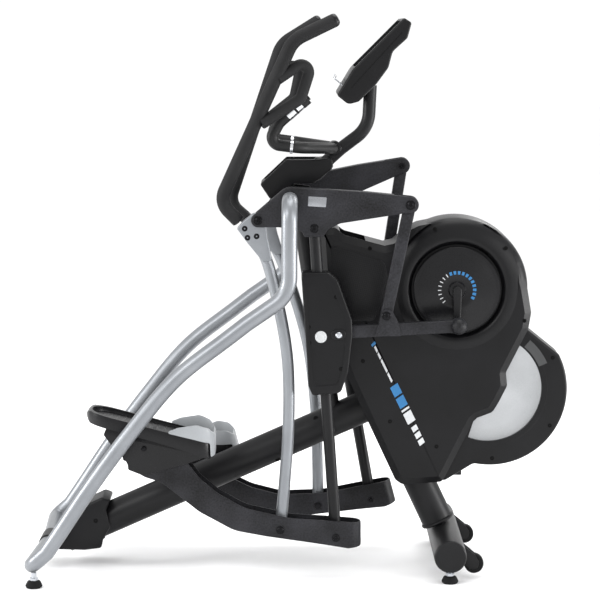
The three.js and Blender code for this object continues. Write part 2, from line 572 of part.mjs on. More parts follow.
// ---------------------------------------------------------------- mast, console and tray
function addMast() {
  const mastPath = bend([[40, 0, 1168], [120, 0, 1240], [200, 0, 1300], [206, 0, 1425]], 90);
  const mast = tube(mastPath, 19);
  add('mast', mast, blackCoat);
  const half = (s) => bend([[97, s * 20.5, 1242], [0, s * 150, 1250], [-92, s * 158, 1262],
    [-60, s * 162, 1322], [20, s * 162, 1392]], 55);
  const grips = [-1, 1].map((s) => tube(half(s), 17, 10));
  const bridge = bar([100, 1242], -24, 24, 21, 16);
  const pulse = cut(join(grips[0], grips[1], bridge), tube(mastPath, 19 + GAP * 4));
  add('pulse_bar', pulse, rubber);

  // console: a wedge-backed screen case, leaning back towards the user
  const caseSide = outline([[105, 1400], [150, 1474], [296, 1620], [318, 1606], [306, 1562],
    [264, 1524], [252, 1478], [218, 1432], [168, 1382], [138, 1374]]);
  const consoleCase = cut(slab(caseSide, -165, 165, 6), tube(mastPath, 19 + GAP * 4));
  add('console', consoleCase, blackPlastic);

  // tray over the rocker shaft that closes the foot of the mast
  const traySide = outline([[-116, 1140], [-40, 1212], [56, 1212], [92, 1216], [98, 1188], [40, 1142],
    [-20, 1142], [-84, 1092]]);
  const pan = slab(outline([[-100, 1146], [-36, 1206], [50, 1206], [44, 1222], [-40, 1222],
    [-112, 1150]]), -66, 66);
  const traySolid = cut(slab(traySide, -78, 78, 4), pan, tube(mastPath, 19 + GAP * 4),
    block(-62, -16, -61, 61, 1060, 1137));
  add('accessory_tray', traySolid, blackPlastic);

  const socket = cut(block(455, 481, -14, 14, 268, 312), block(460, 476, -9, 9, 240, 290));
  add('power_inlet', socket, blackPlastic);
}

const level = linkageAt(0, BAR_NOSE);
const lifted = liftedLinkage();
addFrame();
addDrive();
addHousing();
addSide('right', -1, level);
addSide('left', 1, lifted);
addMast();

// the origin is on the floor under the middle of the machine
machine.updateMatrixWorld(true);
const extent = new THREE.Box3().setFromObject(machine, true);
machine.position.set(-(extent.min.x + extent.max.x) / 2, 0, -extent.min.z);

export default machine;
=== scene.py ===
import json
import math

import bpy
from mathutils import Matrix, Vector

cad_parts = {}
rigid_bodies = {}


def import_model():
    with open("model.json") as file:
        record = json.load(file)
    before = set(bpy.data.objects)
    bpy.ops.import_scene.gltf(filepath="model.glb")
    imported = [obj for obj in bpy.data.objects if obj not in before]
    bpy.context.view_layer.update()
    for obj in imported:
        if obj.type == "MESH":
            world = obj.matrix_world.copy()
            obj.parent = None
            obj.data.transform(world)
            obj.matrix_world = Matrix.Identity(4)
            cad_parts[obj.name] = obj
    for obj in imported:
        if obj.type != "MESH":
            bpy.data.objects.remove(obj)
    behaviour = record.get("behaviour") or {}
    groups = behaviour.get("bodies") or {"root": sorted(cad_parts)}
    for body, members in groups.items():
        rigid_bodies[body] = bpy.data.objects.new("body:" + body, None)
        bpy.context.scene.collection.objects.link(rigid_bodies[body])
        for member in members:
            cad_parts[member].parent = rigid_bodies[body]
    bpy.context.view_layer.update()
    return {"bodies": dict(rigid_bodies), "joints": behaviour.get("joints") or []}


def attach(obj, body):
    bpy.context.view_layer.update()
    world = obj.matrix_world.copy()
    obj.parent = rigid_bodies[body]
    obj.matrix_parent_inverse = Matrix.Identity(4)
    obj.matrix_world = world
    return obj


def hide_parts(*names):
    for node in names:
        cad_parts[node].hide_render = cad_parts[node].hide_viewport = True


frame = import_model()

# ---------------------------------------------------------------------------------------------
# Studio: a wide pale floor that runs out to a white surround, and six large soft lights round and
# above the machine. The camera stands level with the grips and looks slightly down.
MM = 0.001


def deselect():
    """Leaves edit mode and clears the selection, so that an operator acts on one thing only."""
    if bpy.context.object and bpy.context.object.mode != "OBJECT":
        bpy.ops.object.mode_set(mode="OBJECT")
    bpy.ops.object.select_all(action="DESELECT")


def linear(code):
    """An sRGB hex colour as the linear colour that a shader needs."""
    parts = [int(code[i:i + 2], 16) / 255 for i in (1, 3, 5)]
    return (*[v / 12.92 if v <= 0.04045 else ((v + 0.055) / 1.055) ** 2.4 for v in parts], 1.0)


def add_node(material, kind, links, **settings):
    """Adds a shader node, with its settings, and links or sets its inputs by name."""
    made = material.node_tree.nodes.new("ShaderNode" + kind)
    for key, value in settings.items():
        setattr(made, key, value)
    for name, value in links.items():
        if isinstance(value, bpy.types.NodeSocket):
            material.node_tree.links.new(value, made.inputs[name])
        else:
            made.inputs[name].default_value = value
    return made


def surface(name, dark, light, grain, rough, bump, **shader):
    """A material whose grain, in millimetres, varies its colour, its roughness and its height.

    rough is the lowest and highest roughness and bump is the height of the grain in millimetres.
    """
    material = bpy.data.materials.new(name)
    material.use_nodes = True
    principled = material.node_tree.nodes["Principled BSDF"]
    for socket, value in shader.items():
        principled.inputs[socket.replace("_", " ")].default_value = value
    place = add_node(material, "TexCoord", {})
    fine = add_node(material, "TexNoise", {"Vector": place.outputs["Object"],
                    "Scale": 1 / (grain * MM), "Detail": 3.0, "Roughness": 0.6})
    cloud = add_node(material, "TexNoise", {"Vector": place.outputs["Object"],
                     "Scale": 9.0, "Detail": 2.0})
    both = add_node(material, "Math", {0: fine.outputs["Fac"], 1: cloud.outputs["Fac"]})
    spread = add_node(material, "MapRange", {"Value": both.outputs[0], "From Min": 0.7,
                      "From Max": 1.3})
    colour = add_node(material, "ValToRGB", {"Fac": spread.outputs[0]})
    colour.color_ramp.elements[0].color = linear(dark)
    colour.color_ramp.elements[1].color = linear(light)
    gloss = add_node(material, "MapRange", {"Value": fine.outputs["Fac"], "From Min": 0.3,
                     "From Max": 0.7, "To Min": rough[0], "To Max": rough[1]})
    height = add_node(material, "Bump", {"Height": fine.outputs["Fac"], "Strength": 0.6,
                      "Distance": bump * MM})
    for made, socket in ((colour, "Base Color"), (gloss, "Roughness"), (height, "Normal")):
        material.node_tree.links.new(made.outputs[0], principled.inputs[socket])
    return material


# painted floor: an even pale white that takes only soft shadows
studio_white = surface("studio_white", "#fbfbfc", "#fefefe", 4.0, (0.85, 0.95), 0.02)
deselect()
FLOOR_SIZE = 80.0
bpy.ops.mesh.primitive_plane_add(size=FLOOR_SIZE, location=(0, 0, 0))
floor = bpy.context.object
floor.name = "studio_floor"
floor.data.materials.append(studio_white)

for name, stand, aim, size, watts in (
        ("key_softbox", (-3.0, -3.6, 3.4), (0, 0, 0.9), 2.2, 95),
        ("fill_softbox", (3.6, -3.2, 2.2), (0, 0, 0.8), 1.8, 45),
        ("top_softbox", (0.3, 0.2, 4.2), (0.1, 0, 0.5), 2.6, 80),
        ("left_strip", (-4.4, -0.9, 1.5), (0, 0, 0.9), 1.4, 110),
        ("right_strip", (4.4, -0.8, 0.7), (0, 0, 0.7), 1.4, 110),
        ("rear_softbox", (1.8, 2.8, 2.9), (0.1, 0, 0.9), 1.8, 45)):
    deselect()
    bpy.ops.object.light_add(type="AREA", location=stand)
    lamp = bpy.context.object
    lamp.name = name
    lamp.data.size = size
    lamp.data.energy = watts
    lamp.rotation_euler = (Vector(aim) - Vector(stand)).to_track_quat("-Z", "Y").to_euler()

sky = bpy.data.worlds.new("studio_air")
sky.use_nodes = True
sky.node_tree.nodes["Background"].inputs["Color"].default_value = linear("#ffffff")
sky.node_tree.nodes["Background"].inputs["Strength"].default_value = 1.04
bpy.context.scene.world = sky
bpy.context.scene.view_settings.view_transform = "Standard"

CAMERA_PLACE, CAMERA_PITCH = (0.0012, -6.5, 1.59), 83
LENS, SENSOR_WIDTH = 132.8, 36.0
deselect()
bpy.ops.object.camera_add(location=CAMERA_PLACE, rotation=(math.radians(CAMERA_PITCH), 0, 0))
camera = bpy.context.object
camera.data.lens = LENS
camera.data.sensor_width = SENSOR_WIDTH
bpy.context.scene.camera = camera

# ---------------------------------------------------------------------------------------------
# Side rails: one 45 mm steel tube each, bent from the rocker shaft down to the floor and across to
# the spine's socket, then sprayed with silver metallic powder. The right one is made and mirrored.
pivot = {j["name"]: Vector(j["pos_m"]) for j in frame["joints"]}
AXLE = Vector((457, 0, 834))  # the crank axle's place in the drawing, in millimetres


def spot(x, z, y=0.0):
    """A point of the drawing, in millimetres, as a place in the frame."""
    return pivot["crank_spin"] + (Vector((x, y, z)) - AXLE) * MM


def fillet(corners, closed=False, steps=8):
    """Corners are (point, radius): each one becomes an arc of that radius."""
    path = []
    for i, (point, radius) in enumerate(corners):
        if radius == 0 or (not closed and i in (0, len(corners) - 1)):
            path.append(point)
            continue
        back = corners[i - 1][0] - point
        ahead = corners[(i + 1) % len(corners)][0] - point
        half = back.angle(ahead) / 2
        reach = min(radius * MM / math.tan(half), back.length * 0.49, ahead.length * 0.49)
        toward = (back.normalized() + ahead.normalized()).normalized()
        centre = point + toward * reach / math.cos(half)
        first = point + back.normalized() * reach - centre
        last = point + ahead.normalized() * reach - centre
        arm = first.length
        first, last = first.normalized(), last.normalized()
        path += [centre + first.slerp(last, k / steps) * arm for k in range(steps + 1)]
    return path


def through(points, steps=10):
    """A smooth run that passes through each of the points (Catmull-Rom)."""
    ends = [2 * points[0] - points[1]] + points + [2 * points[-1] - points[-2]]
    run = []
    for a, b, c, d in zip(ends, ends[1:], ends[2:], ends[3:]):
        for k in range(steps):
            t = k / steps
            run.append((2 * b + (c - a) * t + (2 * a - 5 * b + 4 * c - d) * t * t
                        + (3 * b - a - 3 * c + d) * t ** 3) / 2)
    return run + [points[-1]]


def pipe(name, points, radius, sides=8):
    """A round bar or tube along the points, closed at both ends; sides is per quarter turn."""
    deselect()
    bpy.ops.curve.primitive_nurbs_path_add()
    piece = bpy.context.object
    piece.name = name
    piece.data.splines.clear()
    line = piece.data.splines.new("POLY")
    line.points.add(len(points) - 1)
    for knot, point in zip(line.points, points):
        knot.co = (*point, 1)
    piece.data.bevel_depth = radius * MM
    piece.data.bevel_resolution = sides
    piece.data.use_fill_caps = True
    bpy.ops.object.convert(target="MESH")
    tidy(piece)
    return piece


def tidy(piece):
    """Merges doubled points and turns the faces outwards."""
    deselect()
    bpy.context.view_layer.objects.active = piece
    piece.select_set(True)
    bpy.ops.object.mode_set(mode="EDIT")
    bpy.ops.mesh.select_all(action="SELECT")
    bpy.ops.mesh.remove_doubles(threshold=0.02 * MM)
    bpy.ops.mesh.normals_make_consistent(inside=False)
    bpy.ops.object.mode_set(mode="OBJECT")


def soften(piece, width, segments=2, angle=28):
    """Rounds the sharp edges, as casting, pressing or deburring does. The width is in mm."""
    deselect()
    bpy.context.view_layer.objects.active = piece
    piece.select_set(True)
    bpy.ops.object.modifier_add(type="BEVEL")
    round_over = piece.modifiers[-1]
    round_over.width = width * MM
    round_over.segments = segments
    round_over.limit_method = "ANGLE"
    round_over.angle_limit = math.radians(angle)
    round_over.use_clamp_overlap = True
    bpy.ops.object.modifier_apply(modifier=round_over.name)


def settle(piece, body, nodes, material, smooth=32):
    """Gives a finished piece its smooth shading and its material, ties it to its body, and hides the
    CAD nodes that it stands for.
    """
    deselect()
    bpy.context.view_layer.objects.active = piece
    piece.select_set(True)
    bpy.ops.object.transform_apply(location=True, rotation=True, scale=True)
    bpy.ops.object.shade_smooth_by_angle(angle=math.radians(smooth))
    if not piece.data.materials:
        piece.data.materials.append(material)
    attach(piece, body)
    if nodes:
        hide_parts(*nodes)


def mirrored(piece, name, hinge=None, lean=0.0):
    """The left-hand twin of a right-hand piece, turned about its hinge to where it stands."""
    deselect()
    bpy.context.view_layer.objects.active = piece
    piece.select_set(True)
    bpy.ops.object.duplicate()
    twin = bpy.context.object
    twin.name = name
    twin.data.transform(Matrix.Scale(-1, 4, (0, 1, 0)))
    twin.data.flip_normals()
    if hinge:
        start, end = (Vector((pivot[s + hinge].x, 0, pivot[s + hinge].z))
                      for s in ("right_", "left_"))
        turn = Matrix.Rotation(-lean, 4, "Y")
        twin.data.transform(Matrix.Translation(end) @ turn @ Matrix.Translation(-start))
    return twin


def settle_pair(piece, body, nodes, material, hinge=None, lean=0.0, smooth=32):
    """Settles the right-hand piece and a mirrored one; node names are given without the side."""
    twin = mirrored(piece, piece.name.replace("right", "left"), hinge, lean)
    for side, half in (("right_", piece), ("left_", twin)):
        ridden = body if body in frame["bodies"] else side + body
        settle(half, ridden, [n.replace("SIDE_", side) for n in nodes], material, smooth)
    return piece, twin


# silver metallic powder coat: pale aluminium flake under a clear film, with soft wide highlights
silver_coat = surface("silver_metallic_powder_coat", "#7a7d81", "#8b8e92", 0.9, (0.34, 0.44),
                      0.02, Metallic=0.7, Coat_Weight=0.15, Coat_Roughness=0.3)
RAIL_Y = -335
rail_path = fillet([(spot(-29, 1105, -205), 0), (spot(-29, 1107, RAIL_Y), 60),
                    (spot(-30, 1000, RAIL_Y), 0)])
rail_path += fillet([(spot(-30, 950, RAIL_Y), 0), (spot(-30, 848, RAIL_Y), 95),
                     (spot(-150, 765, RAIL_Y), 0)], steps=12)
rail_path += through([spot(x, z, RAIL_Y) for x, z in
                      ((-194, 731), (-349, 609), (-472, 463), (-587, 308), (-682, 166))])
rail_path += fillet([(spot(-722, 107, RAIL_Y), 0), (spot(-768, 67, RAIL_Y), 55),
                     (spot(-752, 67, -50), 0)], steps=10)
rail = pipe("right_side_rail", rail_path, 22.5)
settle_pair(rail, "frame", ["SIDE_rail"], silver_coat)

# ---------------------------------------------------------------------------------------------
# Spine, front leg and stabiliser: 94 mm steel tubes, mitred, welded and powder coated satin black.
# A weld bead shows where the leg meets the stabiliser, whose ends are closed by flat plastic caps.
# satin black powder coat: near black, a faint orange peel that breaks up long highlights
satin_black = surface("satin_black_powder_coat", "#0c0c0d", "#151517", 2.4, (0.36, 0.48), 0.05,
                      Specular_IOR_Level=0.22)


def turned(name, centre, profile, sides=64, along=(0, 1, 0), out=(1, 0, 0)):
    """A lathe-turned piece: the profile lists (distance along the axis, radius) in mm."""
    along, out = Vector(along), Vector(out)
    deselect()
    bpy.ops.mesh.primitive_circle_add(vertices=len(profile), fill_type="NOTHING")
    piece = bpy.context.object
    piece.name = name
    for vertex, (reach, radius) in zip(piece.data.vertices, profile):
        vertex.co = centre + along * reach * MM + out * radius * MM
    bpy.ops.object.mode_set(mode="EDIT")
    bpy.ops.mesh.select_all(action="SELECT")
    bpy.ops.mesh.spin(steps=sides, angle=math.tau, center=centre, axis=along)
    bpy.ops.object.mode_set(mode="OBJECT")
    tidy(piece)
    return piece


def together(name, pieces):
    """Joins pieces that are welded, screwed or moulded as one."""
    deselect()
    for piece in pieces:
        piece.select_set(True)
    bpy.context.view_layer.objects.active = pieces[0]
    bpy.ops.object.join()
    pieces[0].name = name
    return pieces[0]


def bushing(name, place, half, bore, radius, rim=1, sides=48):
    """A round boss or spacer with its corners turned off; half is half its length."""
    return turned(name, place, [(-half, bore), (-half, radius - rim), (rim - half, radius),
                                (half - rim, radius), (half, radius - rim), (half, bore)], sides)


TUBE_R = 47
SOCKET = (-751, 67)
SPINE_TOP = (300, 521)
spine = pipe("spine_tube", [spot(-700, 79), spot(*SPINE_TOP)], TUBE_R, 10)
socket = bushing("spine_socket", spot(*SOCKET), 49.5, 0, 27, 3.5, 64)
settle(together("spine_tube", [spine, socket]), "frame", ["spine_tube"],
       satin_black)

leg = pipe("front_leg", [spot(252, 468), spot(413, 126)], TUBE_R, 10)
leg_line = (spot(420, 112) - spot(255, 462)).normalized()
bead = turned("leg_weld", spot(411, 131), [(-4, 46), (-2, 50), (2, 51.5), (6, 50), (8, 46)],
              along=leg_line, out=(0, 1, 0))


def plate(name, outline, near, far, edge=0.0, segments=2):
    """A flat plate: a side view outline, thickened between two distances from the middle."""
    deselect()
    bpy.ops.mesh.primitive_circle_add(vertices=len(outline), fill_type="NGON")
    piece = bpy.context.object
    piece.name = name
    for vertex, point in zip(piece.data.vertices, outline):
        vertex.co = (point.x, near * MM, point.z)
    bpy.ops.object.mode_set(mode="EDIT")
    bpy.ops.mesh.select_all(action="SELECT")
    bpy.ops.mesh.extrude_region_move(TRANSFORM_OT_translate={"value": (0, (far - near) * MM, 0)})
    bpy.ops.object.mode_set(mode="OBJECT")
    tidy(piece)
    if edge:
        soften(piece, edge, segments)
    return piece


def flat_outline(corners, steps=8):
    """A closed side view: each corner is (x, z) or (x, z, radius) in drawing millimetres."""
    return fillet([(spot(c[0], c[1]), c[2] if len(c) > 2 else 0) for c in corners], True, steps)


carrier = flat_outline([(240, 452, 20), (340, 440), (556, 514), (578, 538, 15), (556, 560),
                        (478, 600), (486, 834, 10), (457, 866, 20), (428, 834, 10), (330, 600)])
carriers = [plate("carrier", carrier, s * 70, s * 75) for s in (-1, 1)]
settle(together("front_leg", [leg, bead] + carriers), "frame",
       ["front_leg"], satin_black)

stabiliser = turned("front_stabiliser", spot(433, 81), [
    (-282, 0), (-282, 43), (-279, 46), (-274, 46.4), (-273.4, 47), (273.4, 47), (274, 46.4),
    (279, 46), (282, 43), (282, 0)], 96)
ear = flat_outline([(455, 60), (494, 29, 6), (516, 31, 9), (521, 50, 8), (508, 72, 8), (470, 104),
                    (450, 112)])
ears = [plate("wheel_ear", ear, s * y - 2, s * y + 2, 0.6) for s in (-1, 1) for y in (172, 208)]
settle(together("front_stabiliser", [stabiliser] + ears), "frame",
       ["front_stabiliser"], satin_black)

# ---------------------------------------------------------------------------------------------
# Feet and transport wheels: moulded black rubber. Each foot is a pad screwed up into its tube on a
# plated stem with a hexagonal lock nut; each wheel has a grooved tread and turns on a short bolt.
# moulded rubber: matt charcoal with a powdery bloom
black_rubber = surface("moulded_black_rubber", "#0b0b0c", "#151516", 1.6, (0.7, 0.85), 0.06,
                       Specular_IOR_Level=0.2)
# zinc-plated steel: bright grey, lightly brushed by handling
zinc = surface("zinc_plated_steel", "#a9acb1", "#c9ccd1", 0.7, (0.22, 0.34), 0.01, Metallic=1.0)
UP = {"along": (0, 0, 1), "out": (1, 0, 0)}
HEX = 6  # the flats of a nut
for end, x, y, top in (("rear", -762, 308, 44.2), ("front", 433, 255, 33.8)):
    pad = turned(f"{end}_right_foot", spot(x, 0, -y), [
        (0, 0), (0, 20), (1.2, 22), (5, 24), (8, 24), (12, 22), (17, 19.5), (19.5, 18), (20.5, 15),
        (20.5, 0)], 48, **UP)
    stem = turned("stem", spot(x, 0, -y), [(20, 0), (20, 7.8), (top, 7.8), (top, 0)], 24, **UP)
    nut = turned("nut", spot(x, 0, -y), [(21, 0), (21, 11), (22, 12.5), (29, 12.5), (30, 11),
                                         (30, 0)], HEX, **UP)
    pad.data.materials.append(black_rubber)
    for part in (stem, nut):
        part.data.materials.append(zinc)
    foot = together(f"{end}_right_foot", [pad, stem, nut])
    settle_pair(foot, "frame", [f"{end}_SIDE_foot"], black_rubber)

WHEEL_HUB = spot(506, 44, -190)
tread = [(-14, 9), (-14, 25), (-12, 28), (-6, 28.5), (-5, 27.4), (-3, 27.4), (-2, 28.5), (2, 28.5),
         (3, 27.4), (5, 27.4), (6, 28.5), (12, 28), (14, 25), (14, 9), (13, 8), (-13, 8)]
wheel = turned("right_wheel", WHEEL_HUB, tread)
wheel.data.materials.append(black_rubber)
hub = turned("hub", WHEEL_HUB, [(-15, 0), (-15, 6), (-13, 9.5), (13, 9.5), (15, 6), (15, 0)], 32)
hub.data.materials.append(zinc)
settle_pair(together("right_transport_wheel", [wheel, hub]), "transport_wheel",
            ["SIDE_transport_wheel"], black_rubber)

# ---------------------------------------------------------------------------------------------
# Screws and rear cover: the cover is a thin moulded ABS shroud over the joint of spine and rails,
# open underneath, with a rolled edge. Self-tapping screws sit in small round wells.
# moulded ABS, fine leather grain: satin black with a soft wide sheen
abs_black = surface("grained_black_abs", "#080809", "#101012", 1.1, (0.34, 0.44), 0.04,
                    Specular_IOR_Level=0.2)
# the dark well round a screw head, where no light reaches
well_black = surface("screw_well_black", "#050505", "#0a0a0a", 1.0, (0.6, 0.8), 0.02,
                     Specular_IOR_Level=0.1)


def carve(piece, tool, how="DIFFERENCE"):
    """Cuts the tool's shape out of the piece, or keeps only what it holds; the tool is used up."""
    deselect()
    bpy.context.view_layer.objects.active = piece
    piece.select_set(True)
    bpy.ops.object.modifier_add(type="BOOLEAN")
    piece.modifiers[-1].operation = how
    piece.modifiers[-1].solver = "EXACT"
    piece.modifiers[-1].object = tool
    bpy.ops.object.modifier_apply(modifier=piece.modifiers[-1].name)
    bpy.data.objects.remove(tool)


def screws(name, places, radius):
    """Round screw heads with a recess, each in a raised ring, seen from the near side."""
    heads = []
    for place in places:
        heads.append(turned("ring", place, [(0, radius * 1.5), (-0.5, radius * 1.42),
                                            (-0.5, radius * 1.05), (0, radius)], 24))
        heads.append(turned("head", place, [(1, 0), (1, radius), (-0.2, radius),
                                            (-0.7, radius * 0.75), (-0.7, radius * 0.42),
                                            (0.4, radius * 0.36), (0.4, 0)], 24))
    return together(name, heads)


shroud_edge = flat_outline([(-722, 52), (-716, 118, 30), (-655, 178, 30), (-586, 211, 14),
                            (-562, 202, 8), (-575, 170, 16), (-563, 120, 16), (-584, 84, 16),
                            (-590, 56), (-640, 50)])
SHROUD_HALF, WALL = 64, 7
shroud = plate("rear_cover", shroud_edge, -SHROUD_HALF, SHROUD_HALF, 9, 4)
hollow = flat_outline([(-740, 30), (-716, 100), (-655, 168), (-583, 200), (-540, 190), (-540, 20)])
carve(shroud, plate("hollow", hollow, WALL - SHROUD_HALF, SHROUD_HALF - WALL))
carve(shroud, turned("tube_well", spot(*SOCKET), [(-90, 0), (-90, 34), (90, 34), (90, 0)], 48))
carve(shroud, pipe("spine_space", [spot(-760, 52), spot(*SPINE_TOP)], TUBE_R + 1.5, 10))
settle(shroud, "frame", ["rear_cover"], abs_black)
settle(screws("spine_bolts", [spot(47, 443, -36), spot(-67, 320, -31)], 5), "frame",
       [], well_black)
settle(screws("rear_cover_screws", [spot(-606, 140, -64.3)], 4.5), "frame", [],
       well_black)

# ---------------------------------------------------------------------------------------------
# Housing: two injection-moulded ABS halves that meet on the middle plane. The front panel stands
# proud of the round flywheel lobe, and a wide turned ring with a recess surrounds the crank.
CRANK, FLYWHEEL = (457, 834), (554, 538)
DRUM_R = 209
LOBE, LOBE_R = (560, 535), 226
WINDOW_R = 157
SEAM = -0.2  # where the right half stops, short of the middle plane


def arc(centre, radius, start, end, steps):
    """Corner points along an arc, with the angles in degrees."""
    turns = [math.radians(start + (end - start) * k / steps) for k in range(steps + 1)]
    return [(centre[0] + radius * math.cos(t), centre[1] + radius * math.sin(t)) for t in turns]


# the lobe: a disc with its rim rounded over, and the window's crescent cut through its face
lobe = plate("lobe", flat_outline(arc(LOBE, LOBE_R, 27, -102, 60) + [(428, 262, 10), (330, 300),
             (330, 700), (560, 800)]), -72, SEAM, 8, 4)
inside = plate("inside", flat_outline(arc(LOBE, LOBE_R - 5, 27, -102, 40) + [(428, 270), (300, 300),
               (300, 700), (560, 795)]), -67, 10)
carve(lobe, inside)
window = arc(FLYWHEEL, WINDOW_R, 58, -112, 40)
carve(lobe, plate("cutter", flat_outline(window + [(520, 470), (560, 600)]), -90, -40))
# a sloping lip runs from the lobe's face down to the window's edge
lip = turned("lip", spot(*FLYWHEEL), [(-72.4, 172), (-71, 178), (-70, 178), (-60, WINDOW_R),
                                      (-63, WINDOW_R - 0.5)], 128)
shadow = flat_outline([(400, 330), (620, 330), (560, 430), (600, 560), (640, 700), (400, 800)])
carve(lip, plate("shadow", shadow, -90, -40))

# the front panel: neck, body and stepped front edge, 98 mm out. Only its near face is inset, which
# gives the broad chamfer.
panel_edge = [(52, 1014, 8), (104, 1014, 12), (128, 993, 20), (262, 957, 30), (330, 1016, 60),
              (457, 1042, 40), (560, 1020, 60), (640, 930, 60), (664, 836, 20), (676, 765, 14),
              (668, 716, 12), (604, 588, 10), (608, 548, 12), (584, 500, 10), (566, 470, 14),
              (514, 450, 20), (420, 262, 10), (302, 253, 16), (281, 268, 10), (217, 405, 30),
              (142, 569, 60), (70, 760, 30)]
CHAMFER_IN, CHAMFER_OUT = 20, 16
panel = plate("panel", flat_outline(panel_edge, 1), CHAMFER_OUT - 98, SEAM)
bpy.ops.object.mode_set(mode="EDIT")
bpy.ops.mesh.select_mode(type="FACE")
bpy.ops.mesh.select_all(action="DESELECT")
bpy.ops.object.mode_set(mode="OBJECT")
for polygon in panel.data.polygons:
    polygon.select = polygon.normal.y < -0.9
bpy.ops.object.mode_set(mode="EDIT")
bpy.ops.mesh.inset(thickness=CHAMFER_IN * MM, depth=CHAMFER_OUT * MM)
bpy.ops.mesh.select_mode(type="VERT")
bpy.ops.object.mode_set(mode="OBJECT")
core_edge = [(60, 1008), (104, 1008), (262, 950), (457, 1032), (560, 1010), (634, 925), (658, 836),
             (668, 765), (598, 588), (560, 476), (508, 456), (416, 270), (302, 262), (222, 405),
             (148, 569), (78, 760)]
carve(panel, plate("core", flat_outline(core_edge), -80, 10))
# the ring round the crank: rolled outer rim, dished face and a stepped recess
ring = turned("ring", spot(*CRANK), [
    (-0.3, DRUM_R - 4), (-0.3, DRUM_R), (-62, DRUM_R), (-73, DRUM_R - 2), (-83, DRUM_R - 8),
    (-92, DRUM_R - 19), (-98.5, DRUM_R - 34), (-102, DRUM_R - 47), (-103.5, 154), (-103, 148),
    (-101, 142.5), (-97, 139), (-91, 137), (-86, 131), (-84, 40), (-84, 16), (-80, 14),
    (-80, DRUM_R - 8)], 160)
carve(panel, turned("ring_hole", spot(457, 862), [(-140, 0), (-140, 181), (-60, 181), (-60, 0)],
                    128))
# the neck's inset panel, moulded to look like woven fibre, with a thin raised line beside it
facet = pipe("facet", [spot(174, 758, -97.6), spot(248, 842, -97.6)], 1.6, 3)
facet.data.materials.append(abs_black)
fibre = bpy.data.materials.new("woven_look_abs")
fibre.use_nodes = True
shader = fibre.node_tree.nodes["Principled BSDF"]
place = add_node(fibre, "TexCoord", {})
tilt = add_node(fibre, "Mapping", {"Vector": place.outputs["Object"],
                "Rotation": (0, math.radians(32), 0), "Scale": (1, 0, 1)})
# a fibre tow is about 3 mm wide; drawn at 4 mm so that it shows
weave = add_node(fibre, "TexChecker", {"Vector": tilt.outputs[0], "Scale": 1 / (4 * MM),
                 "Color1": linear("#070708"), "Color2": linear("#141416")})
tow = add_node(fibre, "TexWave", {"Vector": tilt.outputs[0], "Scale": 1 / (3 * MM * math.tau)})
# sockets 6 and 7 are the two colours, and output 2 is the mixed one
blend = add_node(fibre, "Mix", {"Factor": 0.25, 6: weave.outputs[0], 7: tow.outputs[0]},
                 data_type="RGBA", blend_type="MULTIPLY")
step = add_node(fibre, "Bump", {"Height": weave.outputs["Fac"], "Strength": 0.5,
                "Distance": 0.2 * MM})
fibre.node_tree.links.new(blend.outputs[2], shader.inputs["Base Color"])
fibre.node_tree.links.new(step.outputs[0], shader.inputs["Normal"])
shader.inputs["Roughness"].default_value = 0.4
shader.inputs["Specular IOR Level"].default_value = 0.2
inset = plate("neck_inset", flat_outline([(88, 966, 14), (120, 958, 20), (246, 918, 30),
              (262, 838, 30), (214, 742, 16), (120, 742, 14), (98, 790, 10)]), -99.4, -96, 1.2, 2)
inset.data.materials.append(fibre)
for part in (panel, lobe, lip, ring):
    part.data.materials.append(abs_black)
# the frosted sight glass set into the lobe above the window
# a thin flat plate of pale grey laid on the lobe's face, a crescent just outside the window at its
# upper right
crescent_grey = surface("grey_crescent_plate", "#2c2d2e", "#38393a", 1.5, (0.5, 0.6), 0.01)
crescent = arc(FLYWHEEL, 188, 24, 50, 12) + arc(FLYWHEEL, 162, 50, 24, 12)
grey_patch = plate("grey_patch", flat_outline(crescent), -72.8, -71)
grey_patch.data.materials.append(crescent_grey)
house = together("right_housing", [panel, lobe, lip, ring, facet, inset, grey_patch])
settle_pair(house, "frame", ["SIDE_housing"], abs_black)
SCREW_PLACES = ((391, 1012, 101), (598, 956, 101), (655, 743, 98), (742, 630, 72), (736, 428, 72),
                (567, 330, 72), (401, 370, 98), (264, 445, 98), (184, 624, 98), (203, 955, 98))
heads = screws("right_housing_screws", [spot(x, z, SEAM - y) for x, z, y in SCREW_PLACES], 4)
settle_pair(heads, "frame", [], well_black)

# ---------------------------------------------------------------------------------------------
# Printed marks on the housing: pad-printed white and blue bars in a slanting row, a plain
# decoration with no lettering, and a scale of small ticks round the crank disc.
# pad-printing ink: flat, opaque, slightly glossier than the plastic under it
ink_blue = surface("blue_pad_print", "#175f92", "#1f6fa6", 1.5, (0.4, 0.5), 0.01)
ink_white = surface("white_pad_print", "#b4b6b8", "#c6c8ca", 1.5, (0.4, 0.5), 0.01)
row_start, row_end = Vector((214, 0, 676)), Vector((372, 0, 352))
slope = (row_end - row_start).normalized()
across = Vector((-slope.z, 0, slope.x))
SLANT = 4
marks = {"blue": [], "white": [], "ticks": []}
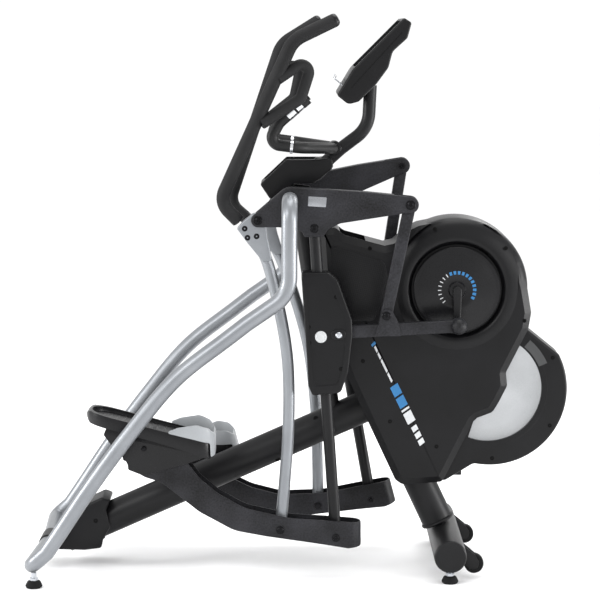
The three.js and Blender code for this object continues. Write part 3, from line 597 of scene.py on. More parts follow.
# each bar's start and end down the row, its half width, and its ink
for begin, end, half, ink in (
        (0, 8, 7, "blue"), (12, 30, 3.0, "white"), (34, 52, 3.0, "white"), (56, 96, 3.0, "white"),
        (100, 128, 3.0, "white"), (140, 172, 13, "blue"), (178, 210, 13, "blue"),
        (216, 222, 13, "white"), (228, 262, 13, "white"), (274, 290, 9, "white"),
        (296, 312, 9, "white"), (318, 334, 9, "white")):
    corners = [row_start + slope * begin - across * half, row_start + slope * end - across * half,
               row_start + slope * (end - SLANT) + across * half,
               row_start + slope * (begin - SLANT) + across * half]
    marks[ink].append(plate("mark", [spot(c.x, c.z) for c in corners], -98.3, -97.9))
TICKS, WHITE_TICKS, TICK_PITCH = 19, 8, 13.8
for k in range(TICKS):
    turn = math.radians(222 - k * TICK_PITCH)
    half, ink = (1.1, ink_white) if k < WHITE_TICKS else (3.4, ink_blue)
    radial = Vector((math.cos(turn), 0, math.sin(turn)))
    side = Vector((-radial.z, 0, radial.x))
    corners = [AXLE + radial * 46 - side * half, AXLE + radial * 56 - side * half * 1.2,
               AXLE + radial * 56 + side * half * 1.2, AXLE + radial * 46 + side * half]
    tick = plate("tick", [spot(c.x, c.z) for c in corners], -108.9, -107.6)
    tick.data.materials.append(ink)
    marks["ticks"].append(tick)
for ink, material in (("blue", ink_blue), ("white", ink_white)):
    settle_pair(together(f"right_{ink}_marks", marks[ink]), "frame", [],
                material)
settle_pair(together("right_disc_ticks", marks["ticks"]), "crank", [], ink_white)

# ---------------------------------------------------------------------------------------------
# Drive: the crank axle carries a belt pulley inside the housing and a crank with a dished ABS disc
# on each side. The belt turns the flywheel's spindle; a curved magnet bracket stands behind it.
# smooth moulded ABS: glossier than the grained housing
smooth_black = surface("smooth_black_abs", "#08080a", "#0f0f11", 3.0, (0.26, 0.34), 0.015,
                       Specular_IOR_Level=0.25)
disc = turned("right_crank_disc", spot(*CRANK), [
    (-97, 12), (-97, 121), (-99, 125), (-103, 126), (-105.5, 124), (-106.3, 119), (-106.3, 113),
    (-107.2, 111), (-107.6, 60), (-108.4, 58), (-108.4, 44), (-107.6, 42), (-107.4, 26),
    (-113, 22), (-113.5, 12)], 128)
settle_pair(disc, "crank", ["SIDE_crank_disc"], smooth_black)

# forged crank arms, tapered and crowned, with a pressed cap; the left one stands opposite
THROW = 95
for side, up, turn in (("right", -1, 180), ("left", 1, 0)):
    edge = arc(CRANK, 13, turn, turn - 180, 14)
    edge += arc((CRANK[0], CRANK[1] + up * THROW), 10, 180 - turn, -turn, 14)
    forging = plate(f"{side}_crank_arm", flat_outline(edge), -128, -114.6, 4, 4)
    cap = turned("cap", spot(*CRANK), [(-128.5, 0), (-128.5, 4), (-127.5, 11), (-114.6, 13),
                                       (-114.6, 0)], 48)
    forging = together(f"{side}_crank_arm", [forging, cap])
    if side == "left":
        forging.data.transform(Matrix.Scale(-1, 4, (0, 1, 0)))
        forging.data.flip_normals()
    settle(forging, "crank", [f"{side}_crank_arm"], satin_black)

axle = bushing("crank_axle", spot(*CRANK), 104, 0, 12)
settle(axle, "crank", ["crank_axle"], zinc)
pulley = turned("drive_pulley", spot(*CRANK), [
    (-9, 126), (-9, 131.5), (-7.5, 131.5), (-7, 129.6), (7, 129.6), (7.5, 131.5), (9, 131.5),
    (9, 126), (3, 120), (3, 40), (20, 34), (20, 12.4), (-20, 12.4), (-20, 34), (-3, 40), (-3, 120)], 96)
settle(pulley, "crank", ["drive_pulley"], smooth_black)

# turned and lacquered cast iron: pale satin grey, brushed in fine rings about its shaft
ringed = surface("turned_flywheel_face", "#9ea0a2", "#b2b4b6", 2.0, (0.3, 0.4), 0.01, Metallic=0.6)
nodes = ringed.node_tree.nodes
offset = add_node(ringed, "Mapping", {"Vector": nodes["Texture Coordinate"].outputs["Object"],
                  "Location": tuple(-spot(*FLYWHEEL))})
rings = add_node(ringed, "TexWave", {"Vector": offset.outputs[0], "Scale": 1 / (9 * MM * math.tau),
                 "Distortion": 0.2}, wave_type="RINGS", rings_direction="Y")
groove = add_node(ringed, "Bump", {"Height": rings.outputs["Fac"], "Strength": 0.12,
                  "Distance": 0.3 * MM})
ringed.node_tree.links.new(groove.outputs[0], nodes["Principled BSDF"].inputs["Normal"])
rim = turned("wheel", spot(*FLYWHEEL), [
    (14, 9), (14, 150), (16, 157), (20, 158), (50, 158), (54, 157), (56, 150), (56, 9)], 128)
dish = turned("face", spot(*FLYWHEEL), [
    (-57.5, 9), (-60, 20), (-58, 32), (-52, 60), (-50, 120), (-53, 150), (-55, 158), (-52, 159),
    (-48, 150), (-45, 120), (-47, 40), (-47, 9)], 128)
spindle = turned("spindle", spot(*FLYWHEEL), [
    (-79, 0), (-79, 9), (-12, 9), (-12, 25), (-8, 26), (8, 26), (12, 25), (14, 14), (79, 9),
    (79, 0)], 48)
settle(together("flywheel", [rim, dish, spindle]), "flywheel", ["flywheel"],
       ringed)

# ribbed rubber belt, and the pressed bracket that holds the magnets
PULLEY_R, SPINDLE_R, BELT_THICK = 131.8, 27.8, 3
run = Vector(FLYWHEEL) - Vector(CRANK)
heading = math.atan2(run.y, run.x)
wrap = math.acos((PULLEY_R - SPINDLE_R) / run.length)
ends = [math.degrees(heading + wrap), math.degrees(heading - wrap)]


def belt_loop(offset):
    """The belt's path round both pulleys, offset outwards in mm."""
    return flat_outline(arc(CRANK, PULLEY_R + offset, ends[0], ends[1] + 360, 60)
                        + arc(FLYWHEEL, SPINDLE_R + offset, ends[1], ends[0], 24))


belt = plate("drive_belt", belt_loop(BELT_THICK), -8, 8)
carve(belt, plate("inner", belt_loop(0), -12, 12))
settle(belt, "frame", ["drive_belt"], black_rubber)
magnet = arc(FLYWHEEL, 180, 126, 206, 24) + arc(FLYWHEEL, 162, 206, 126, 24)
settle(plate("magnet_bracket", flat_outline(magnet), 8, 69.7, 1), "frame",
       ["magnet_bracket"], zinc)
inlet = plate("power_inlet", flat_outline([(455, 268, 3), (481, 268, 3), (481, 312, 3),
                                           (455, 312, 3)]), -14, 14, 1)
settle(inlet, "frame", ["power_inlet"], smooth_black)

# ---------------------------------------------------------------------------------------------
# Centre post and rocker shaft: a black tube from the spine up to a welded collar, and the ground
# steel bar that both rockers turn on and both rails are clamped to.
SHAFT = (-29, 1105)
post = pipe("centre_post", [spot(96, 445), spot(4, 1040), spot(4, 1068)], 26)
collar = bushing("collar", spot(*SHAFT), 60, 16, 31, 2, 64)
knee = plate("knee", flat_outline([(-30, 1075), (30, 1060), (30, 1130), (-30, 1136)]), -26, 26, 4)
carve(knee, turned("bore", spot(*SHAFT), [(-70, 0), (-70, 16), (70, 16), (70, 0)], 48))
settle(together("centre_post", [post, collar, knee]), "frame",
       ["centre_post"], satin_black)
shaft = turned("rocker_shaft", spot(*SHAFT), [(-217.5, 0), (-217.5, 13), (-216, 15), (216, 15),
                                              (217.5, 13), (217.5, 0)])
settle(shaft, "frame", ["rocker_shaft"], zinc)

# ---------------------------------------------------------------------------------------------
# Rockers: folded and welded 4 mm steel plate, open underneath, in textured black powder. Each
# carries three pivot bolts, and a small blank plate of brushed aluminium is riveted to its side.
# textured black powder coat: a wrinkle of about 2 mm, drawn at 5 mm so that its sparkle shows
textured_black = surface("textured_black_powder_coat", "#040405", "#2c2c30", 5.0, (0.36, 0.62),
                         0.6, Specular_IOR_Level=0.22)
# black oxide on steel: a dark oily sheen with small hard highlights
black_oxide = surface("black_oxide_steel", "#131314", "#1e1e20", 0.8, (0.22, 0.34), 0.01,
                      Metallic=0.9)
LEVER = -185


def heading_of(a, b):
    """The direction from one joint to another in side view, in radians."""
    return math.atan2(pivot[b].z - pivot[a].z, pivot[b].x - pivot[a].x)


def lean_between(a, b):
    """How far the left-hand lever stands turned from the right-hand one."""
    return heading_of("left_" + a, "left_" + b) - heading_of("right_" + a, "right_" + b)


rocker_lean = lean_between("lift", "front_rise")
pendulum_lean = lean_between("mid_rise", "foot_tilt")
link_lean = lean_between("front_rise", "bar_tilt")
crank_pin = {"right": spot(CRANK[0], CRANK[1] - THROW), "left": spot(CRANK[0], CRANK[1] + THROW)}
bar_heading = {s: math.atan2(crank_pin[s].z - pivot[s + "_bar_tilt"].z,
                             crank_pin[s].x - pivot[s + "_bar_tilt"].x) for s in crank_pin}
bar_lean = bar_heading["left"] - bar_heading["right"]


def lever_plate(name, corners, half, edge=0.0, segments=2):
    """A plate that stands equally to each side of the right-hand levers' middle plane."""
    return plate(name, flat_outline(corners), LEVER - half, LEVER + half, edge, segments)


REAR_PIN, FRONT_PIN = (-120, 1046), (315, 1090)
FOLD = 5  # the walls, drawn a little thicker than the plate
rocker_edge = arc(REAR_PIN, 20, -97, -241, 10) + [(-40, 1141, 50), (188, 1127, 300)]
rocker_edge += arc(FRONT_PIN, 24, 86, -109, 16) + [(114, 1037, 30), (80, 1020, 30), (66, 998, 8),
                                                     (14, 998, 8), (2, 1018, 30), (-60, 1026, 60)]
ROCKER_HALF = 25
rocker = lever_plate("right_rocker", rocker_edge, ROCKER_HALF, 4, 3)
inner_edge = [(-200, 980), (-200, 1010), (-136, 1050), (-46, 1130), (188, 1119), (306, 1106),
              (330, 1090), (400, 1040), (400, 980)]
INNER_HALF = ROCKER_HALF - FOLD
carve(rocker, lever_plate("inner", inner_edge, INNER_HALF))
for x0, x1 in ((-160, -84), (268, 360)):
    carve(rocker, lever_plate("gap", [(x0, 980), (x1, 980), (x1, 1160), (x0, 1160)], INNER_HALF))
hub = turned("hub", spot(*SHAFT, LEVER), [(-22, 15.5), (-22, 24), (22, 24), (22, 15.5)], 48)
settle_pair(together("right_rocker", [rocker, hub]), "rocker",
            ["SIDE_rocker"], textured_black, "lift", rocker_lean)

# brushed aluminium: bright, with fine level streaks along the plate
brushed = surface("brushed_aluminium", "#84868a", "#9c9ea2", 1.2, (0.25, 0.36), 0.01, Metallic=1.0)
tag = plate("right_rocker_tag", flat_outline([(22, 1087, 2), (74, 1084, 2), (76, 1112, 2),
                                              (24, 1115, 2)]),
            LEVER - 25.9, LEVER - ROCKER_HALF, 0.3)
settle_pair(tag, "rocker", [], brushed, "lift", rocker_lean)


def pivot_bolt(name, joint, half, head):
    """A pivot bolt: pressed washer and domed socket head outside, lock nut inside.

    half is half the thickness that it clamps, and head is the radius of its washer, both in mm.
    """
    centre = pivot["right_" + joint].copy()
    centre.y = 0
    out, back = LEVER - half - 6, LEVER + half + 6
    shank = turned("shank", centre, [(out + 4, 0), (out + 4, 8), (back - 4, 8), (back - 4, 0)], 32)
    washer = turned("washer", centre, [(out + 5.6, 8), (out + 5.6, head + 1), (out + 4.4, head + 2),
                                       (out + 3.6, head + 1), (out + 3.4, 8)], 40)
    dome = turned("dome", centre, [(out + 3.6, 0), (out + 3.6, head - 2), (out + 2.2, head - 2.4),
                                   (out + 0.6, head - 5), (out, head - 8), (out, 4.4),
                                   (out + 2.6, 4.0), (out + 2.6, 0)], 36)
    nut = turned("nut", centre, [(back - 5.4, 8), (back - 5.4, head - 2), (back - 0.8, head - 2),
                                 (back, head - 4), (back, 4), (back - 1, 0)], HEX)
    return together(name, [shank, washer, dome, nut])


for which, head in (("rear", 11), ("mid", 11), ("front", 12)):
    bolt = pivot_bolt(f"right_{which}_bolt", which + "_rise", 25.5, head)
    settle_pair(bolt, which + "_pin", [f"SIDE_{which}_pin"], black_oxide,
                which + "_rise")

# ---------------------------------------------------------------------------------------------
# Links and drive bars: rectangular steel tube with rounded ends, welded and powder coated with
# texture. The bar's fork holds the link, and its nose ends in the bearing on the crank pin.
LINK_FOOT, LINK_R = (248, 771), 17
run = Vector(LINK_FOOT) - Vector(FRONT_PIN)
angle = math.degrees(math.atan2(run.y, run.x))
link_edge = arc(FRONT_PIN, LINK_R, angle + 90, angle + 270, 16)
link_edge += arc(LINK_FOOT, LINK_R, angle - 90, angle + 90, 16)
link = lever_plate("right_link", link_edge, 13, 3, 3)
boss = bushing("boss", spot(*FRONT_PIN, LEVER), 17, 9, 18)
settle_pair(together("right_link", [link, boss]), "link", ["SIDE_link"],
            textured_black, "front_rise", link_lean)
bolt = pivot_bolt("right_link_bolt", "bar_tilt", 19.5, 11)
settle_pair(bolt, "link_pin", ["SIDE_link_pin"], black_oxide, "bar_tilt")

bar = lever_plate("right_drive_bar", [(109, 703), (445, 721), (445, 757), (109, 739)], 15, 4, 3)
fork = flat_outline([(214, 712, 4), (292, 712, 4), (284, 748, 12), (266, 782, 10), (250, 793, 16),
                     (234, 782, 10), (226, 748, 12)])
cheeks = [plate("cheek", fork, LEVER + s * 19, LEVER + s * 15.2, 1.2) for s in (-1, 1)]
nose = turned("nose", crank_pin["right"], [
    (-129, 0), (-129, 9), (-131, 10), (-165, 10), (-166, 20), (-168, 23), (-186, 23.5),
    (-188, 24), (-196, 24), (-203, 22.5), (-209, 19.5), (-214, 15), (-217.5, 9.5), (-219.4, 4),
    (-220, 0)])
bar = together("right_drive_bar", [bar] + cheeks + [nose])
settle_pair(bar, "drive_bar", ["SIDE_drive_bar"], textured_black, "bar_tilt",
            bar_lean)

# ---------------------------------------------------------------------------------------------
# Pendulums: black tubes that hang the foot arms from the rockers. A two-part ABS cover with a
# rolled rim hides the joint with the drive bar; a white cap closes its access hole.
hang = [spot(41, 1023, LEVER), spot(104, 125, LEVER)]
tube = pipe("right_pendulum", hang, 16.8)
top = bushing("top", hang[0], 18, 9, 20)
base = bushing("base", hang[1], 18, 9, 18)
lug = flat_outline([(50, 760), (121, 743, 20), (143, 721, 10), (121, 699, 20), (50, 690)])
lugs = [plate("lug", lug, LEVER + d - 2.5, LEVER + d + 2.5, 0.8) for d in (-23, 23)]
web = lever_plate("web", [(52, 694), (72, 694), (72, 752), (52, 752)], 24, 1)
settle_pair(together("right_pendulum", [tube, top, base, web] + lugs), "pendulum",
            ["SIDE_pendulum"], satin_black, "mid_rise", pendulum_lean)

cover_edge = [(4, 882, 6), (4, 898, 6), (82, 897, 18), (109, 873, 16), (149, 761, 30),
              (151, 720, 40), (139, 610, 30), (117, 549, 14), (36, 541, 8), (24, 569, 8),
              (18, 680, 60)]
cover = lever_plate("right_joint_cover", cover_edge, 33, 7, 4)
cavity = [(10, 884), (10, 891), (80, 890), (103, 870), (143, 760), (145, 720), (133, 612),
          (112, 555), (40, 547), (30, 570), (24, 680)]
carve(cover, lever_plate("cavity", cavity, 29))
carve(cover, pipe("passage", hang, 19))
carve(cover, lever_plate("slot", [(96, 600), (190, 600), (190, 816), (96, 816)], 23))
# the shallow field inside the rolled rim, and the oblong step that holds the bolt's head
field = [(18, 868, 8), (80, 868, 20), (94, 850, 16), (132, 758, 30), (133, 722, 30), (122, 622, 20),
         (108, 574, 14), (48, 568, 10), (38, 588, 10), (30, 690, 60)]
for near, far in ((-50, -31.4), (31.4, 50)):
    carve(cover, plate("field", flat_outline(field, 6), LEVER + near, LEVER + far))
pod = plate("pod", flat_outline([(88, 700, 16), (132, 704, 18), (132, 736, 18), (88, 732, 16)]),
            LEVER - 35, LEVER - 30, 2.5, 3)
cover = together("right_joint_cover", [cover, pod])
settle_pair(cover, "pendulum", ["SIDE_joint_cover"], abs_black, "mid_rise",
            pendulum_lean)
heads = screws("right_cover_screws", [spot(x, z, LEVER - 31.5) for x, z in (
    (103, 827), (25, 740), (27, 695), (118, 619), (38, 556), (12, 876))], 4)
settle_pair(heads, "pendulum", [], well_black, "mid_rise", pendulum_lean)
stud = turned("right_cover_stud", spot(111, 717, LEVER), [
    (-35, 0), (-35, 9), (-36, 9.5), (-38, 9.5), (-41, 7), (-42, 3.5), (-40, 3), (-40, 0)], 40)
settle_pair(stud, "pendulum", [], zinc, "mid_rise", pendulum_lean)
# moulded white nylon: matt and slightly waxy
nylon = surface("moulded_white_nylon", "#a9abac", "#bbbdbe", 1.4, (0.45, 0.55), 0.02)
cap = turned("right_cover_cap", spot(60, 712, LEVER), [
    (-31, 0), (-31, 17), (-34.5, 17), (-36, 16), (-36.6, 13.5), (-36.2, 12.5), (-36.2, 9),
    (-36.8, 8), (-36.8, 0)], 56)
settle_pair(cap, "pendulum", [], nylon, "mid_rise", pendulum_lean)

# ---------------------------------------------------------------------------------------------
# Swing arms: bent 34 mm steel tube in the rails' silver powder coat. The welded clamp at the top
# holds the handle with three small screws, and a plain eye at the bottom sits in the foot arm.
SADDLE = (-57, 148)
sweep_path = through([spot(x, z, LEVER) for x, z in (
    (-163, 1028), (-128, 985), (-96, 930), (-62, 800), (-36, 640), (-33, 460), (-44, 290),
    SADDLE)], 8)
arm = pipe("right_swing_arm", sweep_path, 17)
clamp = lever_plate("clamp", [(-181, 1022, 6), (-160, 1045, 6), (-134, 1065, 8), (-108, 1065, 10),
                              (-99, 1046, 10), (-92, 990, 20), (-80, 930, 8), (-105, 925, 8),
                              (-150, 980, 20)], 18, 3, 3)
eye = bushing("eye", spot(*REAR_PIN, LEVER), 19.5, 9, 18)
foot_eye = turned("foot_eye", spot(*SADDLE, LEVER), [(-18, 9), (-18, 14.5), (18, 14.5), (18, 9)],
                  40)
arm = together("right_swing_arm", [arm, clamp, eye, foot_eye])
settle_pair(arm, "swing_arm", ["SIDE_swing_arm"], silver_coat, "rear_rise",
            pendulum_lean)
heads = screws("right_clamp_screws", [spot(x, z, LEVER - 18.2) for x, z in (
    (-158, 1022), (-150, 996), (-124, 1000))], 5.5)
settle_pair(heads, "swing_arm", [], black_oxide, "rear_rise", pendulum_lean)

# ---------------------------------------------------------------------------------------------
# Handles: steel tube slipped into thick closed-cell foam, bent forward at the top, with a second
# D-shaped grip set inboard. A moulded plug closes the tip.
# closed-cell NBR foam: dull black, fine pores that catch a little light
foam = surface("closed_cell_foam", "#0c0c0d", "#1c1c1d", 1.0, (0.6, 0.8), 0.25,
               Specular_IOR_Level=0.25)
cells = add_node(foam, "TexVoronoi", {"Vector": foam.node_tree.nodes["Texture Coordinate"]
                 .outputs["Object"], "Scale": 1 / (2.2 * MM)})
foam.node_tree.links.new(cells.outputs["Distance"], foam.node_tree.nodes["Bump"].inputs["Height"])
grip_path = fillet([(spot(-179, 1045, LEVER), 0), (spot(-229, 1098, LEVER - 16), 75),
                    (spot(-20, 1556, LEVER - 66), 80), (spot(96, 1612, LEVER - 66), 0)], steps=10)
grip = pipe("right_handle", grip_path, 19.5, 10)
loop_path = fillet([(spot(-62, 1448, LEVER - 58), 0), (spot(42, 1518, LEVER - 32), 24),
                    (spot(2, 1392, LEVER - 30), 32), (spot(-108, 1322, LEVER - 48), 0)], steps=10)
loop = pipe("loop", loop_path, 16.5)
tip_line = (grip_path[-1] - grip_path[-2]).normalized()
plug = turned("plug", grip_path[-1], [(-4, 0), (-4, 18), (1, 19.3), (5, 18.4), (9, 16), (12, 12),
                                      (13.5, 7), (14, 0)], 40, along=tip_line, out=(0, 1, 0))
stub_line = (grip_path[0] - grip_path[1]).normalized()
stub = turned("stub", grip_path[0], [(-12, 0), (-12, 19.9), (-2, 19.9), (0, 18), (1, 12), (1, 0)],
              40, along=stub_line, out=(0, 1, 0))
for part, material in ((plug, smooth_black), (stub, smooth_black), (grip, foam), (loop, foam)):
    part.data.materials.append(material)
handle = together("right_handle", [grip, loop, plug, stub])
for foamed in settle_pair(handle, "swing_arm", ["SIDE_handle"], foam, "rear_rise",
                          pendulum_lean):
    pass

# ---------------------------------------------------------------------------------------------
# Foot arms: folded steel troughs in textured black powder, open on top, with a round nose. The
# pendulum and the swing arm are bolted in between the walls.
arm_edge = [(177, 98, 5), (177, 168, 5), (70, 176, 200), (-30, 182, 200), (-160, 212, 120),
            (-238, 256, 100), (-290, 300, 40), (-330, 352, 40), (-500, 410, 20), (-522, 386, 12),
            (-507, 359, 8), (-492, 328, 10), (-447, 303, 30), (-400, 288, 60), (-291, 201, 120),
            (-190, 146, 120), (-99, 129, 200), (60, 106, 200), (140, 93, 20)]
beam = lever_plate("right_foot_arm", arm_edge, 35, 1.6)


def laid(name, back, front, half, low, high, edge=0.0, segments=2):
    """A flat plate drawn in plan about the origin; back and front are (x, corner radius) in mm."""
    (x0, r0), (x1, r1) = back, front
    corners = ((x0, -half, r0), (x1, -half, r1), (x1, half, r1), (x0, half, r0))
    outline = fillet([(Vector((x, 0, y)) * MM, r) for x, y, r in corners], True, 10)
    piece = plate(name, outline, low, high, edge, segments)
    piece.data.transform(Matrix.Rotation(math.radians(90), 4, "X"))
    return piece


def carried(piece, x, z, y, dip=0.0):
    """Tips a laid piece toe down by dip degrees and carries it to its place in the drawing."""
    piece.data.transform(Matrix.Translation(spot(x, z, y)) @ Matrix.Rotation(math.radians(dip), 4,
                                                                             "Y"))
    return piece


NOSE_AT = (142, 250, LEVER)
carve(beam, carried(laid("plan", (-700, 0), (35, 36), 36, -400, 400), *NOSE_AT), "INTERSECT")
trench_edge = [(172, 106, 4), (180, 230), (-100, 330), (-330, 520), (-540, 520), (-505, 396, 10),
               (-486, 338, 10), (-441, 312, 30), (-396, 296, 60), (-287, 209, 120),
               (-186, 154, 120), (-95, 137, 200), (60, 114, 200), (140, 101, 20)]
trench = lever_plate("trench", trench_edge, 31)
carve(trench, carried(laid("plan", (-700, 0), (31, 31), 31, -400, 400), *NOSE_AT), "INTERSECT")
carve(beam, trench)
settle_pair(beam, "foot_arm", ["SIDE_foot_arm"], textured_black, "foot_tilt",
            rocker_lean)
bolt = pivot_bolt("right_foot_bolt", "foot_tilt", 35.5, 10)
settle_pair(bolt, "foot_pin", ["SIDE_foot_pin"], black_oxide, "foot_level")
swing_foot = turned("right_swing_bolt", spot(*SADDLE, LEVER), [
    (-41.5, 0), (-41.5, 3), (-41, 6), (-39, 9), (-37, 10), (-36.8, 12), (-35.4, 12), (-35, 8),
    (35, 8), (35.4, 11), (41, 10), (41.5, 0)], 36)
settle_pair(swing_foot, "foot_arm", [], black_oxide, "foot_tilt", rocker_lean)

# ---------------------------------------------------------------------------------------------
# Footplates: deep moulded trays with a raised rim and a ribbed non-slip floor, bolted to the foot
# arm through a slotted bracket. A pale grey toe guard wraps the front of each.
TOE_DIP = 13.85
INBOARD = LEVER + 5
BED_HALF = 84
RIM, FLOOR = (-431, 440, INBOARD), (-431, 444, INBOARD)
bed = plate("right_footplate", flat_outline([
    (-606, 466, 14), (-618, 490, 12), (-604, 501, 14), (-251, 408, 6), (-250, 358, 10), (-323, 386),
    (-438, 421), (-558, 454)]), INBOARD - BED_HALF, INBOARD + BED_HALF)
carve(bed, carried(laid("plan", (-186, 75), (181, 48), BED_HALF, -200, 200), *RIM), "INTERSECT")
soften(bed, 2.5, 3, 40)
carve(bed, carried(laid("well", (-177, 66), (172, 40), 75, 0, 60, 2), *FLOOR, TOE_DIP))
ribs = []
for k in range(-7, 8):
    middle, reach = k * 20, 60 - max(0, abs(k) - 4) * 9
    rib = laid("rib", (middle - 4, 3), (middle + 4, 3), reach, -0.5, 2.2, 0.8)
    ribs.append(carried(rib, *FLOOR, TOE_DIP))
cheek = [(-556, 452, 8), (-566, 428, 8), (-529, 378, 4), (-513, 371, 3), (-510, 354, 3),
         (-497, 349, 3), (-496, 326, 8), (-453, 309, 10), (-326, 343, 10), (-262, 366, 4),
         (-323, 388), (-438, 423)]
cheeks = [plate("cheek", flat_outline(cheek), LEVER + s * 35.3, LEVER + s * 39.3, 0.8)
          for s in (-1, 1)]
bed = together("right_footplate", [bed] + ribs + cheeks)
settle_pair(bed, "foot_arm", ["SIDE_footplate"], smooth_black, "foot_tilt",
            rocker_lean)
# grained grey ABS: pale, soft and even
guard_grey = surface("pale_grey_abs", "#8b8e91", "#999c9f", 1.1, (0.42, 0.52), 0.03)
guard = laid("right_toe_guard", (-190, 80), (186, 53), 89, -120, 120)
carve(guard, laid("inner", (-188, 78), (181.6, 48.6), 84.6, -150, 150))
guard = carried(guard, *RIM)
profile = lever_plate("profile", [
    (-385, 442, 4), (-350, 456, 30), (-295, 464, 30), (-262, 452, 20), (-241, 425, 20),
    (-240, 372, 3), (-256, 368, 3), (-258, 409, 8), (-300, 421)], 110)
carve(guard, profile, "INTERSECT")
soften(guard, 1.2, 2)
settle_pair(guard, "foot_arm", ["SIDE_toe_guard"], guard_grey, "foot_tilt",
            rocker_lean)
bracket_bolt = turned("right_bracket_bolt", spot(-450, 388, LEVER), [
    (-43.5, 0), (-43.5, 4), (-42.5, 7), (-41, 8), (-39, 8), (-39, 0)], 24)
settle_pair(bracket_bolt, "foot_arm", [], black_oxide, "foot_tilt", rocker_lean)

# ---------------------------------------------------------------------------------------------
# Mast: bent black steel tube, clamped above the tray by a pressed bracket with two dark screws.
mast_path = fillet([(spot(40, 1168), 0), (spot(120, 1240), 40), (spot(200, 1300), 90),
                    (spot(206, 1425), 0)], steps=12)
mast = pipe("mast", mast_path, 19, 10)
clamp = plate("mast_clamp", flat_outline([(-2, 1136), (46, 1214, 4), (72, 1209, 4), (99, 1190, 4),
                                          (60, 1150)]), -27, 27, 2)
settle(together("mast", [mast, clamp]), "frame", ["mast"], satin_black)
settle(screws("mast_screws", [spot(62, 1192, -27.2), spot(30, 1172, -27.2)], 4), "frame",
       [], well_black)

# ---------------------------------------------------------------------------------------------
# Pulse bar: a bent tube under black rubber, with two stainless hand sensors a side, a dark spacer
# between them, a plug at each end and a bright clamp ring where the rubber stops.
# polished stainless: a mirror-like band between two dull ones
stainless = surface("stainless_sensor", "#cfd1d4", "#e2e3e5", 0.8, (0.14, 0.22), 0.005,
                    Metallic=1.0)
sleeve = surface("black_rubber_sleeve", "#0a0a0b", "#131314", 1.4, (0.44, 0.56), 0.03,
                 Specular_IOR_Level=0.3)
bar_corners = [(97, 20.5, 1242), (0, 150, 1250), (-92, 158, 1262), (-60, 162, 1322),
               (20, 162, 1392)]


def pulse_half(side):
    """One half of the bar, from the bridge round to the end plug."""
    corners = [(spot(x, z, side * y), 55 if 0 < i < 4 else 0)
               for i, (x, y, z) in enumerate(bar_corners)]
    path = fillet(corners, steps=10)
    half = [pipe("half", path, 17)]
    half[0].data.materials.append(sleeve)
    end = spot(20, 1392, side * 162)
    run = (end - spot(-60, 1322, side * 162)).normalized()
    for start, length, radius, finish in ((-76, 27, 17.6, stainless), (-49, 6, 17.9, smooth_black),
                                          (-43, 20, 17.6, stainless), (-23, 24, 18.2, sleeve)):
        band = turned("band", end + run * start * MM, [
            (0, 16), (0, radius - 0.5), (0.7, radius), (length - 0.7, radius),
            (length, radius - 0.5), (length, 16)], 48, along=run, out=(0, 1, 0))
        band.data.materials.append(finish)
        half.append(band)
    clip = turned("clip", spot(-24, 1252, side * 152), [
        (-4, 16), (-4, 18.6), (4, 18.6), (4, 16)], 40, along=(1, 0, -0.1), out=(0, 1, 0))
    clip.data.materials.append(stainless)
    return half + [clip]


bridge = bushing("bridge", spot(100, 1242), 24, 12, 21, 2)
bridge.data.materials.append(smooth_black)
settle(together("pulse_bar", [bridge] + pulse_half(-1) + pulse_half(1)), "frame",
       ["pulse_bar"], sleeve)

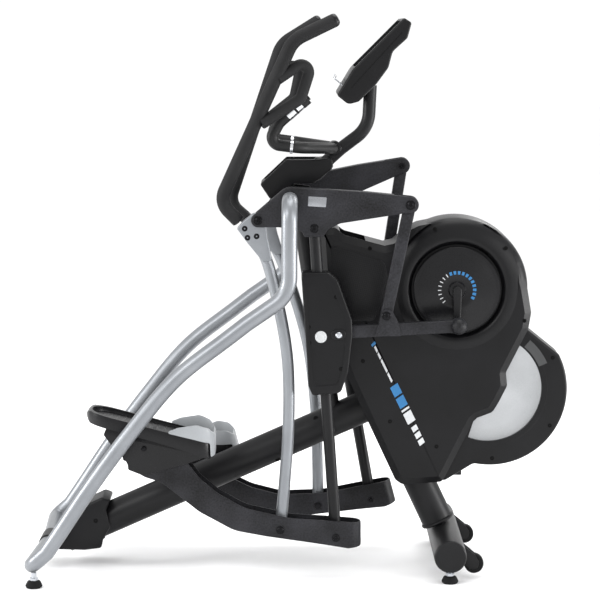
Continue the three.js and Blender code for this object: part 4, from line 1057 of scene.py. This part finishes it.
# ---------------------------------------------------------------------------------------------
# Console: a thin tilted screen in a moulded ABS case with a swollen back, a row of round keys
# under the screen, and a wire book rest. The screen is off, so it shows only a dark gloss.
# tempered cover glass over a dark panel
screen_glass = surface("dark_screen_glass", "#050607", "#08090b", 6.0, (0.05, 0.09), 0.002,
                       Coat_Weight=0.6, Coat_Roughness=0.05)
case_edge = [(105, 1400, 8), (150, 1474, 60), (296, 1620, 6), (318, 1606, 8), (306, 1562, 20),
             (264, 1524, 30), (252, 1478, 40), (218, 1432, 30), (168, 1382, 20), (138, 1374, 20)]
CASE_HALF, GLASS_HALF = 165, 147.8
case = plate("console", flat_outline(case_edge), -CASE_HALF, CASE_HALF, 6, 4)
case.data.materials.append(abs_black)
base, tip = Vector((150, 0, 1474)), Vector((296, 0, 1620))
rise = (tip - base).normalized()
face = Vector((-rise.z, 0, rise.x))


def on_face(along, lift):
    """A point of the console's face: mm up the face from its lower edge, and off it."""
    place = base + rise * along + face * lift
    return spot(place.x, place.z)


carve(case, plate("frame", [on_face(10, 20), on_face(196, 20), on_face(196, -8), on_face(10, -8)],
                  -148, 148))
glass = plate("glass", [on_face(10.2, -6.5), on_face(195.8, -6.5), on_face(195.8, -8.5),
                        on_face(10.2, -8.5)], -GLASS_HALF, GLASS_HALF)
glass.data.materials.append(screen_glass)
# the parting line between the flat front shell and the swollen back, and the book rest's wire
for near, far in ((-CASE_HALF - 5, 2 - CASE_HALF), (CASE_HALF - 2, CASE_HALF + 5)):
    carve(case, plate("groove", [on_face(-40, -33), on_face(172, -24), on_face(172, -27),
                                 on_face(-40, -36)], near, far))
fittings = []
for side in (-1, 1):
    wire = pipe("wire", [spot(126, 1424, side * 120), spot(99, 1446, side * 120),
                         spot(104, 1455, side * 120)], 1.6, 4)
    wire.data.materials.append(zinc)
    fittings.append(wire)
KEY_PITCH = 36
for k in range(-3, 4):
    centre = spot(127.5, 1437)
    centre.y = k * KEY_PITCH * MM
    key = turned("key", centre, [(-2, 0), (-2, 10), (0.6, 10), (1.2, 8.5), (1.3, 0)], 32,
                 along=(-0.855, 0, 0.519), out=(0, 1, 0))
    key.data.materials.append(smooth_black)
    fittings.append(key)
settle(together("console", [case, glass] + fittings), "frame", ["console"],
       abs_black)

# ---------------------------------------------------------------------------------------------
# Accessory tray: a moulded ABS box round the foot of the mast, open on top, with a turned rim.
tray = plate("accessory_tray", flat_outline([(-116, 1140, 6), (-40, 1212, 10), (56, 1212, 20),
             (92, 1216, 10), (98, 1188, 20), (40, 1142, 20), (-20, 1142, 20), (-84, 1092, 10)]),
             -78, 78, 4, 3)
carve(tray, plate("pan", flat_outline([(-100, 1146, 8), (-36, 1206, 8), (50, 1206), (44, 1222),
                                       (-40, 1222), (-112, 1150)]), -66, 66))
settle(tray, "frame", ["accessory_tray"], abs_black)
